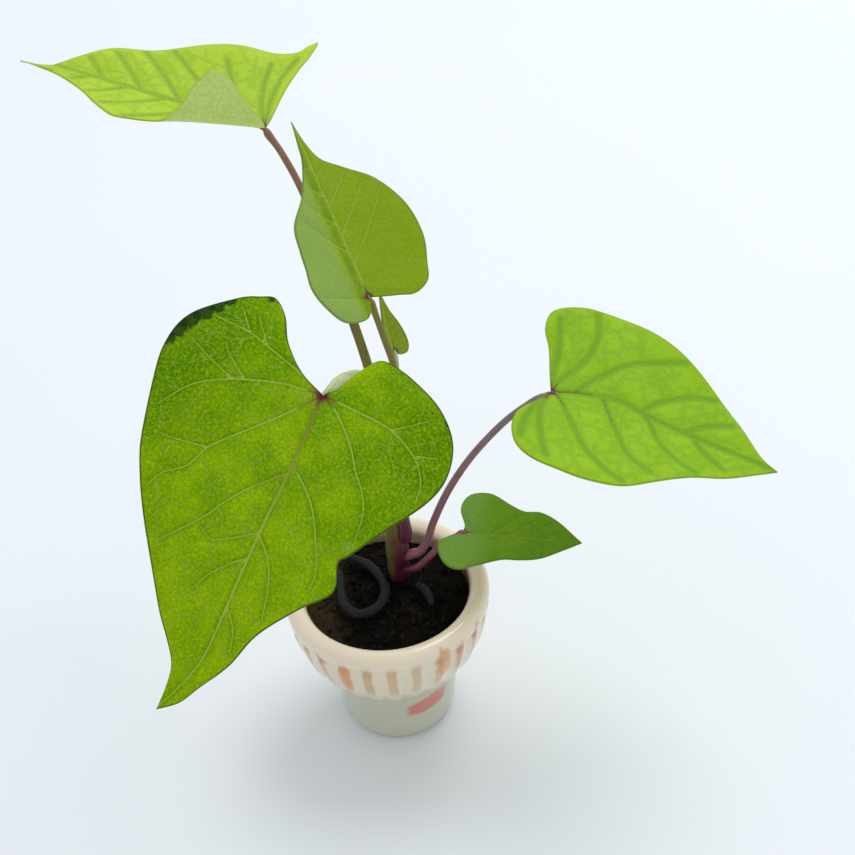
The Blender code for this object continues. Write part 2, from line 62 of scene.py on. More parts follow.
# Blades, as in the part's source: where the petiole joins, the tip, the roll
# about the midrib, the fold of each half, the waves of the margin, and the
# outline of each half from the sinus to the tip. Each of the veins has its
# points on the flat blade, and its width where it starts and where it ends. A
# blade without listed veins gets those that such a leaf usually has, and one
# marked usual gets them as well. The curl rolls up what lies beyond a line.
BLADES = {
    "blade_front": {
        "junction": (-5.5, -32.6, 128.6), "tip": (-39.8, -72.4, 92.1),
        "roll": -24.0, "fold": 3.0, "arch": 0.03, "wave": 0.6, "waves": 7,
        "left": [(0, 0), (-2, -5.5), (-6, -10.7), (-10.5, -14), (-12.3, -17),
                 (-11.3, -19.5), (-9, -23), (-2, -29), (5, -30.3),
                 (12.5, -28.8), (21.5, -25.8), (27, -23), (36, -17),
                 (47, -8.5), (52, -3.8), (55.5, -1), (59.5, 0), (64, 0.35)],
        "right": [(0, 0), (-2.5, 2), (-7, 3.8), (-10.5, 6), (-11, 9),
                  (-10, 14), (-7.5, 20.5), (-3, 25.5), (3, 27.5), (9, 26.5),
                  (17.5, 22), (24, 18.5), (26, 17.3), (31, 19), (36.5, 15),
                  (44, 10.5), (51, 8.5), (57, 5.5), (61, 3.5), (64, 0.35)],
        "veins": [
            ([(0, 0), (14, 1.4), (28, 2.1), (41.5, 3.1), (52, 3.6), (59, 2), (64, 0)], 0.9, 0.3),
            ([(0, 0), (-1.9, -6.5), (-3.4, -13.5), (-4.2, -18), (-4, -26)], 0.5, 0.2),
            ([(-4.1, -17.5), (-7.7, -21.2)], 0.3, 0.15),
            ([(-3.4, -13.5), (-7.6, -17.7)], 0.3, 0.15),
            ([(0, 0), (0.8, -4), (1.8, -8.4), (5.1, -16), (9.3, -22), (15.5, -26)], 0.5, 0.2),
            ([(5.1, -16), (3.6, -21.4), (2, -26)], 0.3, 0.15),
            ([(4.2, -14), (1.3, -18.8), (-0.3, -20.5)], 0.3, 0.15),
            ([(0, 0), (3.6, -2.4), (8.5, -6), (14.8, -11.2), (18.3, -13.8), (23, -15.5),
              (26, -18.6), (29, -20)], 0.55, 0.2),
            ([(18.3, -13.8), (19.2, -17.6), (20.1, -22.5)], 0.3, 0.15),
            ([(15.6, 1.5), (21, -3.2), (25.7, -6.3), (29.6, -8.2), (37, -13.5)], 0.45, 0.2),
            ([(0, 0), (-0.1, 6.7), (0.1, 14.1), (2.5, 20.2), (6, 23.6), (9.5, 24.6)], 0.5, 0.2),
            ([(0.1, 13.7), (-0.3, 14.9), (-4.4, 19.6)], 0.3, 0.15),
            ([(2.5, 20.2), (1, 24.3)], 0.3, 0.15),
            ([(0, 0), (1.9, 4), (6.1, 9.1), (9.6, 12), (12.8, 15.2), (16.4, 17.3),
              (20.8, 18.1)], 0.5, 0.2),
            ([(13.9, 1.5), (18.9, 8), (26, 12.9), (29.7, 14.7), (32.6, 14.8)], 0.45, 0.2),
            ([(28, 2.1), (31.2, 5.8), (35.9, 8.4), (41, 10)], 0.4, 0.2),
            ([(27.6, 2.0), (30.7, -1.8), (32.7, -5.2), (31.6, -7.8)], 0.35, 0.15),
            ([(32.7, 2.4), (34.7, 0.2), (38.6, -2.6), (41.9, -3.9)], 0.35, 0.15),
            ([(41.9, 3.2), (45.3, 6.2), (49, 7.6)], 0.35, 0.2)]},
    "blade_right": {
        "junction": (41.4, 6.7, 93.0), "tip": (89.6, -9.8, 78.0),
        "roll": 6.0, "fold": 9.0, "arch": 0.0, "wave": 0.5, "waves": 6,
        "left": [(0, 0), (-2.5, -4.5), (-6, -11.5), (-4.5, -18.5),
                 (0, -22.5), (7, -24), (12.5, -24), (20, -21.5),
                 (27, -16.5), (34, -12), (40.5, -8.5), (47, -4), (53, 0)],
        "right": [(0, 0), (-1, 3), (-3.5, 11), (-6, 16), (-6, 20.5),
                  (-3, 23.5), (2.5, 26), (9.5, 26.5), (17, 25.5),
                  (25, 22.5), (33, 17.5), (41.5, 9.5), (48.5, 2.5), (53, 0)],
        "veins": [
            ([(0, 0), (5, 2), (10.5, 3.3), (15.5, 3.9), (20.5, 2.9), (27.5, 1.8), (35, 1.1),
              (53, 0)], 0.8, 0.25),
            ([(0, 0), (1, 3.5), (3.5, 8), (5.7, 13.5), (6, 20), (4.5, 25)], 0.5, 0.2),
            ([(0, 0), (-1, 6), (-1.5, 12), (-3.5, 20)], 0.4, 0.2),
            ([(5, 2), (9.4, 8.3), (15, 14.3), (22.7, 18), (27, 20)], 0.45, 0.2),
            ([(20.4, 2.9), (24, 7.3), (30.2, 11.4), (36, 13.2)], 0.45, 0.2),
            ([(31, 1.6), (35, 5), (41, 7.6)], 0.35, 0.2),
            ([(0, 0), (-0.7, -3.2), (-1, -8), (0.3, -13.5), (3, -20.7)], 0.5, 0.2),
            ([(0, 0), (-2, -5), (-3.5, -11), (-3.5, -17)], 0.35, 0.2),
            ([(0, 0), (2.3, -1.4), (7.5, -9.5), (10.8, -14.7), (16, -18.7), (20, -20)], 0.5, 0.2),
            ([(10.7, 3.3), (12, 2.2), (16, -4.8), (20, -11.4), (25.4, -14.4)], 0.45, 0.2),
            ([(21, 2.8), (23.2, 0.6), (26.4, -4.5), (31.5, -8.7), (35, -10)], 0.45, 0.2),
            ([(33, 1.3), (36, -2.2), (41, -5.4)], 0.35, 0.2)]},
    "blade_middle": {
        "junction": (3.1, 11.7, 119.2), "tip": (-10.3, 36.7, 149.0),
        "roll": 8.0, "fold": 20.0, "arch": 0.0, "wave": 0.4, "waves": 5,
        "left": [(0, 0), (-2, -6), (-3, -9.5), (-1.5, -13), (2, -14.5),
                 (8, -16), (16, -15), (23.5, -11.5), (28, -6.5),
                 (31.5, -2.5), (36, -0.8), (41, 0)],
        "right": [(0, 0), (-3, 1), (-4.5, 3.5), (-3.5, 9), (0.5, 12.5),
                  (5, 14), (9.5, 13), (13.5, 12.3), (19, 11), (25, 5.5),
                  (31.5, 1.8), (36, 0.8), (41, 0)]},
    "blade_top": {
        "junction": (-17.0, 45.2, 143.6), "tip": (-63.6, 57.0, 157.6),
        "roll": -6.0, "fold": 13.0, "arch": 0.0, "wave": 0.5, "waves": 5,
        "left": [(0, 0), (-0.5, -3), (-1, -12), (-2, -19.5), (-3, -24),
                 (-3.5, -29), (-0.5, -24.5), (4.5, -21.5), (12.5, -20.5),
                 (20, -18), (30, -13), (38.5, -10), (45, -4.2), (50, 0.9),
                 (55.5, 2.1)],
        "right": [(0, 0), (-0.3, 2.2), (0.4, 6.6), (1.6, 12.5), (2.7, 15.5),
                  (4.7, 17.6), (6.8, 17.4), (10.2, 15.8), (13.9, 13.3),
                  (17.2, 11.9), (20.7, 11.2), (25, 12.6), (29.5, 14.2),
                  (34.6, 11.7), (40.9, 6), (46.2, 3), (50.7, 2.1),
                  (55.5, 2.1)],
        "curl": {"from": (0.6, -0.9), "towards": (19.7, 8.6), "radius": 2.0,
                 "angle": 100.0},
        "usual": True,
        "veins": [
            ([(0, 0), (2.5, -5), (4, -11), (4.4, -18)], 0.5, 0.2),
            ([(0, 0), (1.2, -7), (1, -15), (-0.6, -22)], 0.45, 0.2),
            ([(0, 0), (5, -3.6), (10, -8.5), (14, -15.5)], 0.5, 0.2)]},
    "blade_small": {
        "junction": (19.5, 3.5, 54.9), "tip": (47.4, -0.5, 51.8),
        "roll": 0.0, "fold": 8.0, "arch": 0.0, "wave": 0.3, "waves": 4,
        "left": [(0, 0), (-2, -1.5), (-5.5, -4.5), (-4.5, -10.5),
                 (-1, -13.5), (4, -11.5), (9.5, -9), (14, -8.5),
                 (18.5, -7), (23.5, -3.5), (28.5, 0)],
        "right": [(0, 0), (0.3, 2.5), (-1, 7.5), (1, 11.5), (6, 12.3),
                  (11, 9.8), (14.5, 8.3), (18.5, 8.3), (23, 5.5),
                  (28.5, 0)]},
    "blade_young": {
        "junction": (7.3, 14.0, 102.2), "tip": (5.2, 18.6, 115.6),
        "roll": 25.0, "fold": 50.0, "arch": 0.0, "wave": 0.0, "waves": 1,
        "left": [(0, 0), (-1, -1.4), (-0.6, -2.9), (2, -3.3), (6, -2.6),
                 (10, -1.2), (14.3, 0)],
        "right": [(0, 0), (-1, 1.4), (-0.6, 2.9), (2, 3.3), (6, 2.6),
                  (10, 1.2), (14.3, 0)]},
}
# The upper face of each blade: its body, mottling and vein-side colours, how
# far and how strongly the vein-side colour spreads from a vein, how plainly
# its thick and its fine veins, its brown midrib and its dark margin show, and
# how strongly it shines. A colour comes in along u or v, from one distance to
# another, up to a share: a yellower tip on the large leaf, and on the middle and
# small leaves a painted reflection of the sky, paler on one half or at the base.
BLADE_LOOKS = {
    "blade_front": {"body": (104, 154, 3), "pale": (166, 196, 12), "deep": (62, 116, 1),
                    "spread": 1.2, "beside": 0.4, "thick": 0.95, "thin": 0.34, "midrib": 0.6,
                    "margin": 0.75, "shine": 0.03, "tone_and_sheen": ("u", 8.0, 44.0, 0.45, (150, 182, 8))},
    "blade_right": {"body": (140, 184, 22), "pale": (160, 198, 40), "deep": (88, 142, 34),
                    "spread": 1.8, "beside": 0.62, "thick": 0.12, "thin": 0.06, "midrib": 0.6,
                    "margin": 0.15, "shine": 0.1},
    "blade_middle": {"body": (134, 165, 6), "pale": (142, 172, 30), "deep": (88, 124, 16),
                     "spread": 0.9, "beside": 0.15, "thick": 0.7, "thin": 0.3, "midrib": 0.12,
                     "margin": 0.3, "shine": 0.16,
                     # painted reflection of the sky: one half paler and bluer
                     "tone_and_sheen": ("v", 2.0, 5.0, 0.6, (136, 166, 100))},
    "blade_top": {"body": (172, 203, 44), "pale": (186, 212, 70), "deep": (98, 146, 50),
                  "spread": 1.4, "beside": 0.55, "thick": 0.1, "thin": 0.06, "midrib": 0.2,
                  "margin": 0.15, "shine": 0.12},
    "blade_small": {"body": (90, 136, 4), "pale": (108, 150, 16), "deep": (70, 116, 4),
                    "spread": 0.8, "beside": 0.25, "thick": 0.3, "thin": 0.15, "midrib": 0.15,
                    # painted reflection of the sky: paler and bluer towards the base
                    "margin": 0.2, "shine": 0.08, "tone_and_sheen": ("u", 9.0, 1.0, 0.75, (120, 154, 74))},
    # A yellower tip on the large leaf; a painted reflection of the sky on the middle and small leaves.
    "blade_young": {"body": (146, 166, 30), "pale": (156, 174, 60), "deep": (110, 134, 14),
                    "spread": 0.5, "beside": 0.25, "thick": 0.3, "thin": 0.15, "midrib": 0.15,
                    "margin": 0.3, "shine": 0.12},
}
# The two grown leaves have a finer and stronger mottling than the young ones.
GROWN_BLADES = ("blade_front", "blade_small")
GROWN_MOTTLING = {"cell": 0.8, "patches": 0.55, "spots": 0.55, "net": 0.32}
YOUNG_MOTTLING = {"cell": 1.3, "patches": 0.35, "spots": 0.25, "net": 0.06}
# How far light of each colour spreads inside a leaf.
LEAF_LIGHT = {"Subsurface Radius": (0.6, 1.0, 0.15), "Subsurface Scale": 0.8 * MM}
# Scorched places and the pale nick of the large leaf: u, v and size.
SCORCHES = [(3.6, -30.2, 1.9), (1.2, -29.8, 2.5), (-1.4, -29.0, 2.7), (-3.8, -27.4, 2.6),
            (-6.0, -25.6, 2.1), (-7.8, -23.6, 1.5), (-12.0, -17.4, 1.3), (-6.2, 23.4, 1.5),
            (-5.8, 19.5, 0.9)]
NICK = (22.6, 17.6, 1.6)
BLADE_CENTRE = 0.22     # middle of the fan of faces, as a share of the length
ROW_CROWDING = 0.85     # below 1, the fan's rows crowd towards the margin
MIDRIB_SOFTNESS = 3.0   # the fold turns round the midrib over this distance
WAVE_START = 8.0        # the margin's waves fade towards the midrib from here
VEIN_WIDTH = 0.75       # width of the veins as a share of those listed
VEIN_STEP = 0.8         # between the points of a vein
VEIN_CLEAR = 0.8        # a vein stops this far from the margin
VEIN_TOUCH = 0.5        # and this far from another vein
USUAL_REACH = 45        # length of the blade that the usual widths are for
USUAL_LOBE_VEINS = ((50, -0.3), (85, -0.35), (122, -0.5))   # heading in degrees and bend
USUAL_SIDE_VEINS = (0.22, 0.38, 0.54, 0.7)      # where on the midrib they start
# The finer veins along the main ones, and the finest along those: their
# spacing as a share of the setting, their width and their greatest length.
FINER_VEINS = (1.0, 0.24, 14.0)
FINEST_VEINS = (0.55, 0.15, 4.0)
QUILT_REACH = 2.2       # the swelling rises over this distance from a vein
QUILT_MARGIN = 2.5      # and fades over this one to the margin
VEIN_GROOVE = 0.12      # depth of a main vein in the upper face
VEIN_RIDGE = 0.9        # its height below the blade, as a share of its half width
# Columns and rows of faces in each blade's fan.
BLADE_FACES = {"blade_front": (300, 76), "blade_right": (240, 60), "blade_middle": (180, 48),
               "blade_top": (240, 60), "blade_small": (140, 38), "blade_young": (90, 24)}

# The vine's own stem: points on its centre line, each with its radius.
VINE = [(3.2, 6.2, 33.0, 2.7), (3.2, 6.2, 38.0, 2.75), (3.3, 5.8, 46.0, 2.6),
        (3.4, 5.6, 54.0, 2.2), (3.5, 6.0, 61.0, 1.5), (3.6, 7.4, 72.0, 1.25),
        (3.4, 9.2, 83.5, 1.3), (2.2, 10.9, 93.5, 1.1), (0.8, 12.8, 102.0, 1.1),
        (-1.2, 16.8, 109.4, 1.05), (-3.7, 23.0, 115.6, 1.0)]
VINE_POINTS = 110       # along the finished stem
ROOT_POINTS = 60
PETIOLE_POINTS = 70
PETIOLE_DROP = 3.5      # its foot lies this far lower inside the vine
PETIOLE_UNDER = 0.3     # its end lies this far under the blade
PETIOLE_ON = 1.2        # and runs on this far along it

# Petioles: the points of each centre line, its radius at each end, the blade
# that it carries, and the colours of its skin at the vine and at the blade.
PETIOLES = {
    "petiole_front": ([(5.9, 2.4, 56.0), (6.0, -1.0, 68.0), (6.1, -5.0, 81.0),
                       (5.9, -10.5, 96.0), (5.2, -16.0, 110.0),
                       (3.6, -20.3, 120.4), (0.9, -24.4, 126.4),
                       (-2.0, -28.0, 128.3), (-4.4, -31.2, 128.6)],
                      1.15, 0.85, "blade_front", "purple", "pale_green"),
    "petiole_right": ([(6.9, 3.9, 48.6), (9.0, 3.6, 49.6), (11.0, 4.6, 52.4),
                       (12.8, 6.4, 56.6), (17.0, 8.6, 64.4),
                       (23.0, 10.1, 73.0), (30.5, 9.8, 82.4),
                       (36.8, 8.3, 89.0), (40.2, 7.1, 91.6)],
                      1.0, 0.75, "blade_right", "pink", "mauve"),
    "petiole_small": ([(6.2, 1.9, 45.4), (8.6, 0.9, 47.6), (12.0, 0.9, 51.4),
                       (15.2, 2.0, 53.8), (17.6, 2.8, 54.2)],
                      0.9, 0.75, "blade_small", "purple", "pink"),
    "petiole_middle": ([(5.9, 7.9, 80.6), (7.0, 8.3, 86.0), (7.3, 8.9, 93.0),
                        (6.9, 9.5, 102.0), (5.4, 10.0, 109.5),
                        (3.6, 11.2, 117.4)],
                       0.9, 0.7, "blade_middle", "olive", "olive"),
    "petiole_young": ([(4.9, 11.0, 86.6), (6.3, 12.7, 91.5),
                       (7.3, 13.8, 97.0), (7.4, 13.9, 100.8)],
                      0.7, 0.6, "blade_young", "olive", "pale_green"),
    "petiole_top": ([(-4.2, 24.4, 116.9), (-6.2, 29.4, 121.8),
                     (-10.1, 37.6, 131.4), (-13.7, 42.4, 138.2),
                     (-16.3, 44.7, 142.0)],
                    0.9, 0.75, "blade_top", "brown", "brown"),
}

# Roots that lie on the soil: points on the centre line, each with its radius.
ROOTS = {
    "root_loop": [(-11.2, 13.4, 41.3, 0.8), (-8.7, 11.6, 41.5, 1.0),
                  (-4.6, 8.6, 41.6, 1.1), (-1.4, 3.6, 41.5, 1.1),
                  (-0.4, -1.2, 41.4, 1.15), (-2.5, -5.8, 41.3, 1.15),
                  (-6.8, -7.6, 41.3, 1.15), (-10.2, -4.6, 41.3, 1.15),
                  (-11.3, 0.7, 41.2, 1.1), (-11.6, 6.2, 41.2, 1.0),
                  (-12.6, 9.4, 41.2, 0.8)],
    "root_stub": [(7.3, 0.6, 41.0, 0.8), (8.8, -1.0, 41.6, 1.0),
                  (10.0, -3.6, 41.5, 1.0), (10.6, -6.2, 40.9, 0.8)],
}

# The pot: (radius, height) points of its inside, lip, band and foot.
POT_FLOOR = 4.0
POT_INSIDE = [(11.7, 5.5), (12.5, 12.0), (13.4, 19.0), (15.9, 24.0),
              (18.6, 29.0), (19.8, 34.0), (20.0, 41.0)]
POT_LIP = [(20.8, 42.7), (22.3, 43.3), (23.9, 42.8), (24.9, 41.2), (24.8, 39.4)]
POT_BAND = [(24.1, 38.4), (23.8, 35.5), (22.8, 31.0), (20.9, 26.0), (17.7, 21.2)]
POT_FOOT = [(16.2, 20.3), (15.9, 18.5), (15.1, 9.0), (14.5, 3.0), (13.5, 0.8), (12.4, 0.0)]
RIB_COUNT = 26          # one of them faces -Y
RIB_HEIGHT = 0.7
RIB_HEIGHTS = (20.5, 38.6)      # the lowest and the highest point of the ribs
RIB_START = (20.3, 22.0)        # heights over which they rise and fade
RIB_END = (36.8, 38.4)
# Heights over which the lip's glaze, the foot's glaze, the paint on the ribs
# from below and from above, and the stain on the inner wall come in.
LIP_FADE = (39.5, 42.0)
FOOT_FADE = (21.0, 18.5)
PAINT_FADES = ((24.0, 32.0), (41.6, 38.6))
STAIN_FADE = (30.0, 33.0)
INNER_WALL = (20.6, 19.9)       # radii between which the outside's colours end
# Brush strokes on the pot: paint, angle in degrees, height, half width in
# radians, half height, and how far each leans upwards for a radian of turn.
STROKE_SHAPE = ("angle", "height", "half_turn", "half_height", "slant")
STROKES = [
    ("orange", -118, 34.0, 0.085, 6.5, 14.0), ("orange", -59, 36.5, 0.085, 6.0, -12.0),
    ("pink", -47, 35.0, 0.06, 6.0, 0.0), ("pink", -33, 36.5, 0.07, 5.5, 0.0),
    ("pink", -17, 35.5, 0.06, 6.0, 0.0), ("pink", -134, 36.0, 0.06, 5.0, 0.0),
    ("orange", -150, 35.0, 0.06, 5.0, 8.0), ("orange", 16, 35.0, 0.07, 6.0, 10.0),
    ("orange", 82, 34.0, 0.08, 6.5, -12.0), ("pink", 115, 35.0, 0.06, 6.0, 0.0),
    ("orange", 164, 34.5, 0.08, 6.5, 12.0), ("red", -60, 13.2, 0.42, 3.0, 1.5),
    ("red", 62, 13.0, 0.4, 2.5, 6.0), ("red", 178, 13.2, 0.4, 2.8, 1.5)]
SOIL_EDGE = 38.0
SOIL_CENTRE = 39.4
SOIL_GAP = 0.3          # between the soil and the pot
SOIL_TOP_GAP = 0.2      # the same at the soil's top
SOIL_FIRST_RING = 0.3   # radius of the smallest ring of faces on the top
SOIL_RINGS = 46
SOIL_SIDES = 128
CRUMB_SPREAD = 0.97     # of the soil's radius
CRUMB_SIZE = (0.28, 0.85)       # the least, and how much more the largest have

CAMERA_PLACE = (13.2, -229.0, 283.5)
CAMERA_DOWN = 40.0      # degrees below level, looking along +Y
CAMERA_ROLL = -4.9
# The floor and the lamp are in metres.
FLOOR_SIZE = 6.0
LAMP_PLACE = (0.45, 0.55, 1.25)
LAMP_AIM = (0, 0, 0.08)
LAMP_SIZE = 0.9
SKY_COLOUR = (0.93, 0.96, 1.0, 1.0)


def tint(red, green, blue):
    """A linear colour from the values seen on a screen, each up to 255."""
    seen = [value / 255 for value in (red, green, blue)]
    return tuple(v / 12.92 if v <= 0.04045 else ((v + 0.055) / 1.055) ** 2.4 for v in seen)


def colour_setting(name, description, seen):
    return FloatVectorProperty(name=name, description=description, subtype="COLOR",
                               size=3, min=0.0, max=1.0, default=tint(*seen))


class VineLeafSettings(bpy.types.PropertyGroup):
    """Sizes and colours of the leaf blades."""

    thickness: FloatProperty(
        name="Thickness", description="Thickness of a leaf blade",
        default=0.42 * MM, min=0.1 * MM, max=0.7 * MM, unit="LENGTH")
    quilting: FloatProperty(
        name="Quilting", description="How far the blade swells up between its veins",
        default=0.28 * MM, min=0.0, max=0.6 * MM, unit="LENGTH")
    twig_spacing: FloatProperty(
        name="Vein spacing", description="Distance between the fine veins along a thick one",
        default=3.8 * MM, min=2 * MM, max=12 * MM, unit="LENGTH")
    seed: IntProperty(
        name="Seed", description="Start of the random draws of the fine veins", default=11)
    vein: colour_setting("Vein", "Veins of the upper face", (164, 182, 70))
    under: colour_setting("Underside", "Underside of every leaf", (204, 220, 124))
    purple: colour_setting("Junction", "Purple spot where the petiole joins", (92, 14, 52))
    margin: colour_setting("Margin", "Fine dark line along the margin", (66, 62, 26))


class VineStemSettings(bpy.types.PropertyGroup):
    """Sizes and colours of the stem, petioles and roots."""

    sides: IntProperty(name="Sides", description="Faces round a stem", default=20, min=8, max=48)
    purple: colour_setting("Purple", "Stem foot and petiole ends", (86, 12, 50))
    pink: colour_setting("Pink", "Lower petioles", (146, 88, 100))
    mauve: colour_setting("Mauve", "Petiole of the right leaf", (144, 124, 130))
    brown: colour_setting("Brown", "Upper petioles", (148, 104, 80))
    olive: colour_setting("Olive", "Climbing stem", (126, 120, 34))
    # Pale green of its own, lightened further as a painted highlight along the round petiole.
    pale_green: colour_setting("Pale green", "Petiole of the large leaf", (196, 208, 150))
    root: colour_setting("Root", "Roots on the soil", (36, 38, 40))


class VinePotSettings(bpy.types.PropertyGroup):
    """Sizes and colours of the pot and the soil."""

    sides: IntProperty(name="Sides", description="Faces round the pot", default=312, min=104, max=416)
    crumbs: IntProperty(name="Crumbs", description="Crumbs of soil on top", default=420, min=0, max=900)
    glaze: colour_setting("Glaze", "Cream glaze of the lip and band", (232, 222, 198))
    foot: colour_setting("Foot glaze", "Cooler glaze of the foot", (192, 193, 170))
    brown_paint: colour_setting("Brown paint", "Faint brush strokes on the band", (196, 152, 102))
    orange_paint: colour_setting("Orange paint", "Strong brush strokes on the band", (214, 140, 72))
    red_paint: colour_setting("Red paint", "Brush strokes on the foot", (206, 84, 70))
    soil: colour_setting("Soil", "Damp potting soil", (11, 10, 9))
    fibre: colour_setting("Soil flecks", "Brown flecks in the soil", (58, 40, 24))


class VineStageSettings(bpy.types.PropertyGroup):
    """Camera, floor and lights."""

    lens: FloatProperty(name="Lens", description="Focal length of the camera", default=57.1,
                        min=20.0, max=200.0, unit="CAMERA")
    floor: colour_setting("Floor", "Pale floor", (236, 240, 244))
    sky: FloatProperty(name="Sky", description="Strength of the even light", default=0.76, min=0.0)
    lamp: FloatProperty(name="Lamp", description="Power of the soft lamp", default=8.4,
                        min=0.0, unit="POWER")


def deselect():
    bpy.ops.object.select_all(action="DESELECT")


def pick(target):
    """Make one object the selected and active one."""
    deselect()
    target.select_set(True)
    bpy.context.view_layer.objects.active = target


def apply_modifiers(target):
    pick(target)
    for modifier in list(target.modifiers):
        bpy.ops.object.modifier_apply(modifier=modifier.name)


def edit(target, *steps):
    """Run edit-mode operators, each with its options, on all of a mesh."""
    pick(target)
    bpy.ops.object.mode_set(mode="EDIT")
    for operator, options in steps:
        bpy.ops.mesh.select_all(action="SELECT")
        operator(**options)
    bpy.ops.object.mode_set(mode="OBJECT")


def dress(target, materials, node):
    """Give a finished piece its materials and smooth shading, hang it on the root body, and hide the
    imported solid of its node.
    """
    for material in materials:
        target.data.materials.append(material)
    pick(target)
    bpy.ops.object.shade_smooth()
    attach(target, "root")
    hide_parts(node)


def curve_between(points, count):
    """Evenly spaced points on a smooth curve through the given ones."""
    given = [Vector(point) for point in points]
    given = [2 * given[0] - given[1]] + given + [2 * given[-1] - given[-2]]
    fine = []
    for a, b, c, d in zip(given, given[1:], given[2:], given[3:]):
        for step in range(12):
            t = step / 12
            fine.append(0.5 * (2 * b + (c - a) * t
                               + (2 * a - 5 * b + 4 * c - d) * t * t
                               + (3 * b - a - 3 * c + d) * t ** 3))
    fine.append(given[-2])
    travelled = [0.0]
    for a, b in zip(fine, fine[1:]):
        travelled.append(travelled[-1] + (b - a).length)
    spaced = []
    segment = 0
    for index in range(count):
        goal = travelled[-1] * index / (count - 1)
        while segment < len(fine) - 2 and travelled[segment + 1] < goal:
            segment += 1
        share = (goal - travelled[segment]) / (travelled[segment + 1] - travelled[segment])
        spaced.append(fine[segment].lerp(fine[segment + 1], share))
    return spaced


def flat_between(points, count):
    """Evenly spaced flat points on a smooth curve through the given ones."""
    return [(p.x, p.y) for p in curve_between([(*point, 0) for point in points], count)]


def flat_curve(points):
    """A smooth flat curve through points, as an array with even steps."""
    length = sum(math.dist(a, b) for a, b in zip(points, points[1:]))
    return np.array(flat_between(points, max(3, round(length / VEIN_STEP) + 1)))


def sized_between(points, count):
    """Evenly spaced points of a centre line, each with the radius there."""
    sizes = flat_between([(index, p[3]) for index, p in enumerate(points)], count)
    return [(place, size) for place, (_, size) in
            zip(curve_between([p[:3] for p in points], count), sizes)]


def write_field(mesh, name, values):
    """Keep three numbers for each point of a mesh, for its material."""
    layer = mesh.attributes.new(name, "FLOAT_VECTOR", "POINT")
    layer.data.foreach_set("vector", np.asarray(values, dtype=np.float32).ravel())


def read_field(mesh, name):
    return read_rows(mesh.attributes[name].data, "vector")


def read_points(mesh):
    return read_rows(mesh.vertices, "co")


def read_rows(items, part):
    """Three numbers of each item, as rows of an array."""
    values = np.zeros(3 * len(items), dtype=np.float32)
    items.foreach_get(part, values)
    return values.reshape(-1, 3).astype(float)


def write_points(mesh, values):
    mesh.vertices.foreach_set("co", np.asarray(values, dtype=np.float32).ravel())
    mesh.update()


class BladeSheet:
    """Where the points of one leaf blade lie, flat and in space."""

    def __init__(self, facts):
        self.facts = facts
        self.junction = Vector(facts["junction"])
        along = Vector(facts["tip"]) - self.junction
        self.along = along.normalized()
        level = Vector((0, 0, 1)).cross(self.along).normalized()
        up = self.along.cross(level)
        roll = math.radians(facts["roll"])
        self.side = math.cos(roll) * level + math.sin(roll) * up
        self.up = self.along.cross(self.side)
        self.reach = facts["left"][-1][0]
        self.centre = Vector((BLADE_CENTRE * self.reach, 0, 0))

    def outline(self, count):
        """The margin from the sinus round the left lobe, the tip and back."""
        left = curve_between([(*p, 0) for p in self.facts["left"]], count)
        right = curve_between([(*p, 0) for p in self.facts["right"]], count)
        return left + right[-2::-1]

    def height(self, u, v):
        """How far the sheet stands above the plane of the blade."""
        slope = math.tan(math.radians(self.facts["fold"]))
        fold = slope * (math.hypot(v, MIDRIB_SOFTNESS) - MIDRIB_SOFTNESS)
        share = u / self.reach
        return fold + self.facts["arch"] * 4 * share * (1 - share) * self.reach

    def place(self, u, v, turn, share):
        """The point in space of a place on the flat blade."""
        height = self.facts["wave"] * share ** 3 * min(1.0, abs(v) / WAVE_START)
        lift = height * math.sin(self.facts["waves"] * math.tau * turn)
        if "curl" in self.facts:
            u, v, curled = self.curl(u, v)
            lift += curled
        lift += self.height(u, v)
        return self.junction + u * self.along + v * self.side + lift * self.up

    def curl(self, u, v):
        """Roll up what lies beyond the line of the curl."""
        curl = self.facts["curl"]
        start = Vector(curl["from"])
        line = (Vector(curl["towards"]) - start).normalized()
        across = Vector((-line.y, line.x))
        place = Vector((u, v)) - start
        beyond = place.dot(across)
        if beyond <= 0:
            return u, v, 0.0
        radius = curl["radius"]
        angle = min(beyond / radius, math.radians(curl["angle"]))
        rest = beyond - radius * angle
        reach = radius * math.sin(angle) + rest * math.cos(angle)
        rise = radius * (1 - math.cos(angle)) + rest * math.sin(angle)
        place += (reach - beyond) * across + start
        return place.x, place.y, rise


def nearest(places, lines):
    """Signed and plain distance from places to the nearest line, and its half width."""
    near = np.full(len(places), 99.0)
    signed = near.copy()
    half = np.zeros(len(places))
    for points, start, end in lines:
        pieces = len(points) - 1
        for index in range(pieces):
            line = points[index + 1] - points[index]
            offset = places - points[index]
            share = np.clip(offset @ line / max(line @ line, 1e-9), 0, 1)
            gap = offset - share[:, None] * line
            distance = np.hypot(gap[:, 0], gap[:, 1])
            side = np.where(line[0] * offset[:, 1] > line[1] * offset[:, 0], 1, -1)
            closer = distance < near
            width = start + (end - start) * (index + share) / pieces
            near = np.where(closer, distance, near)
            signed = np.where(closer, side * distance, signed)
            half = np.where(closer, width / 2, half)
    return np.stack([signed, near, half], axis=1)


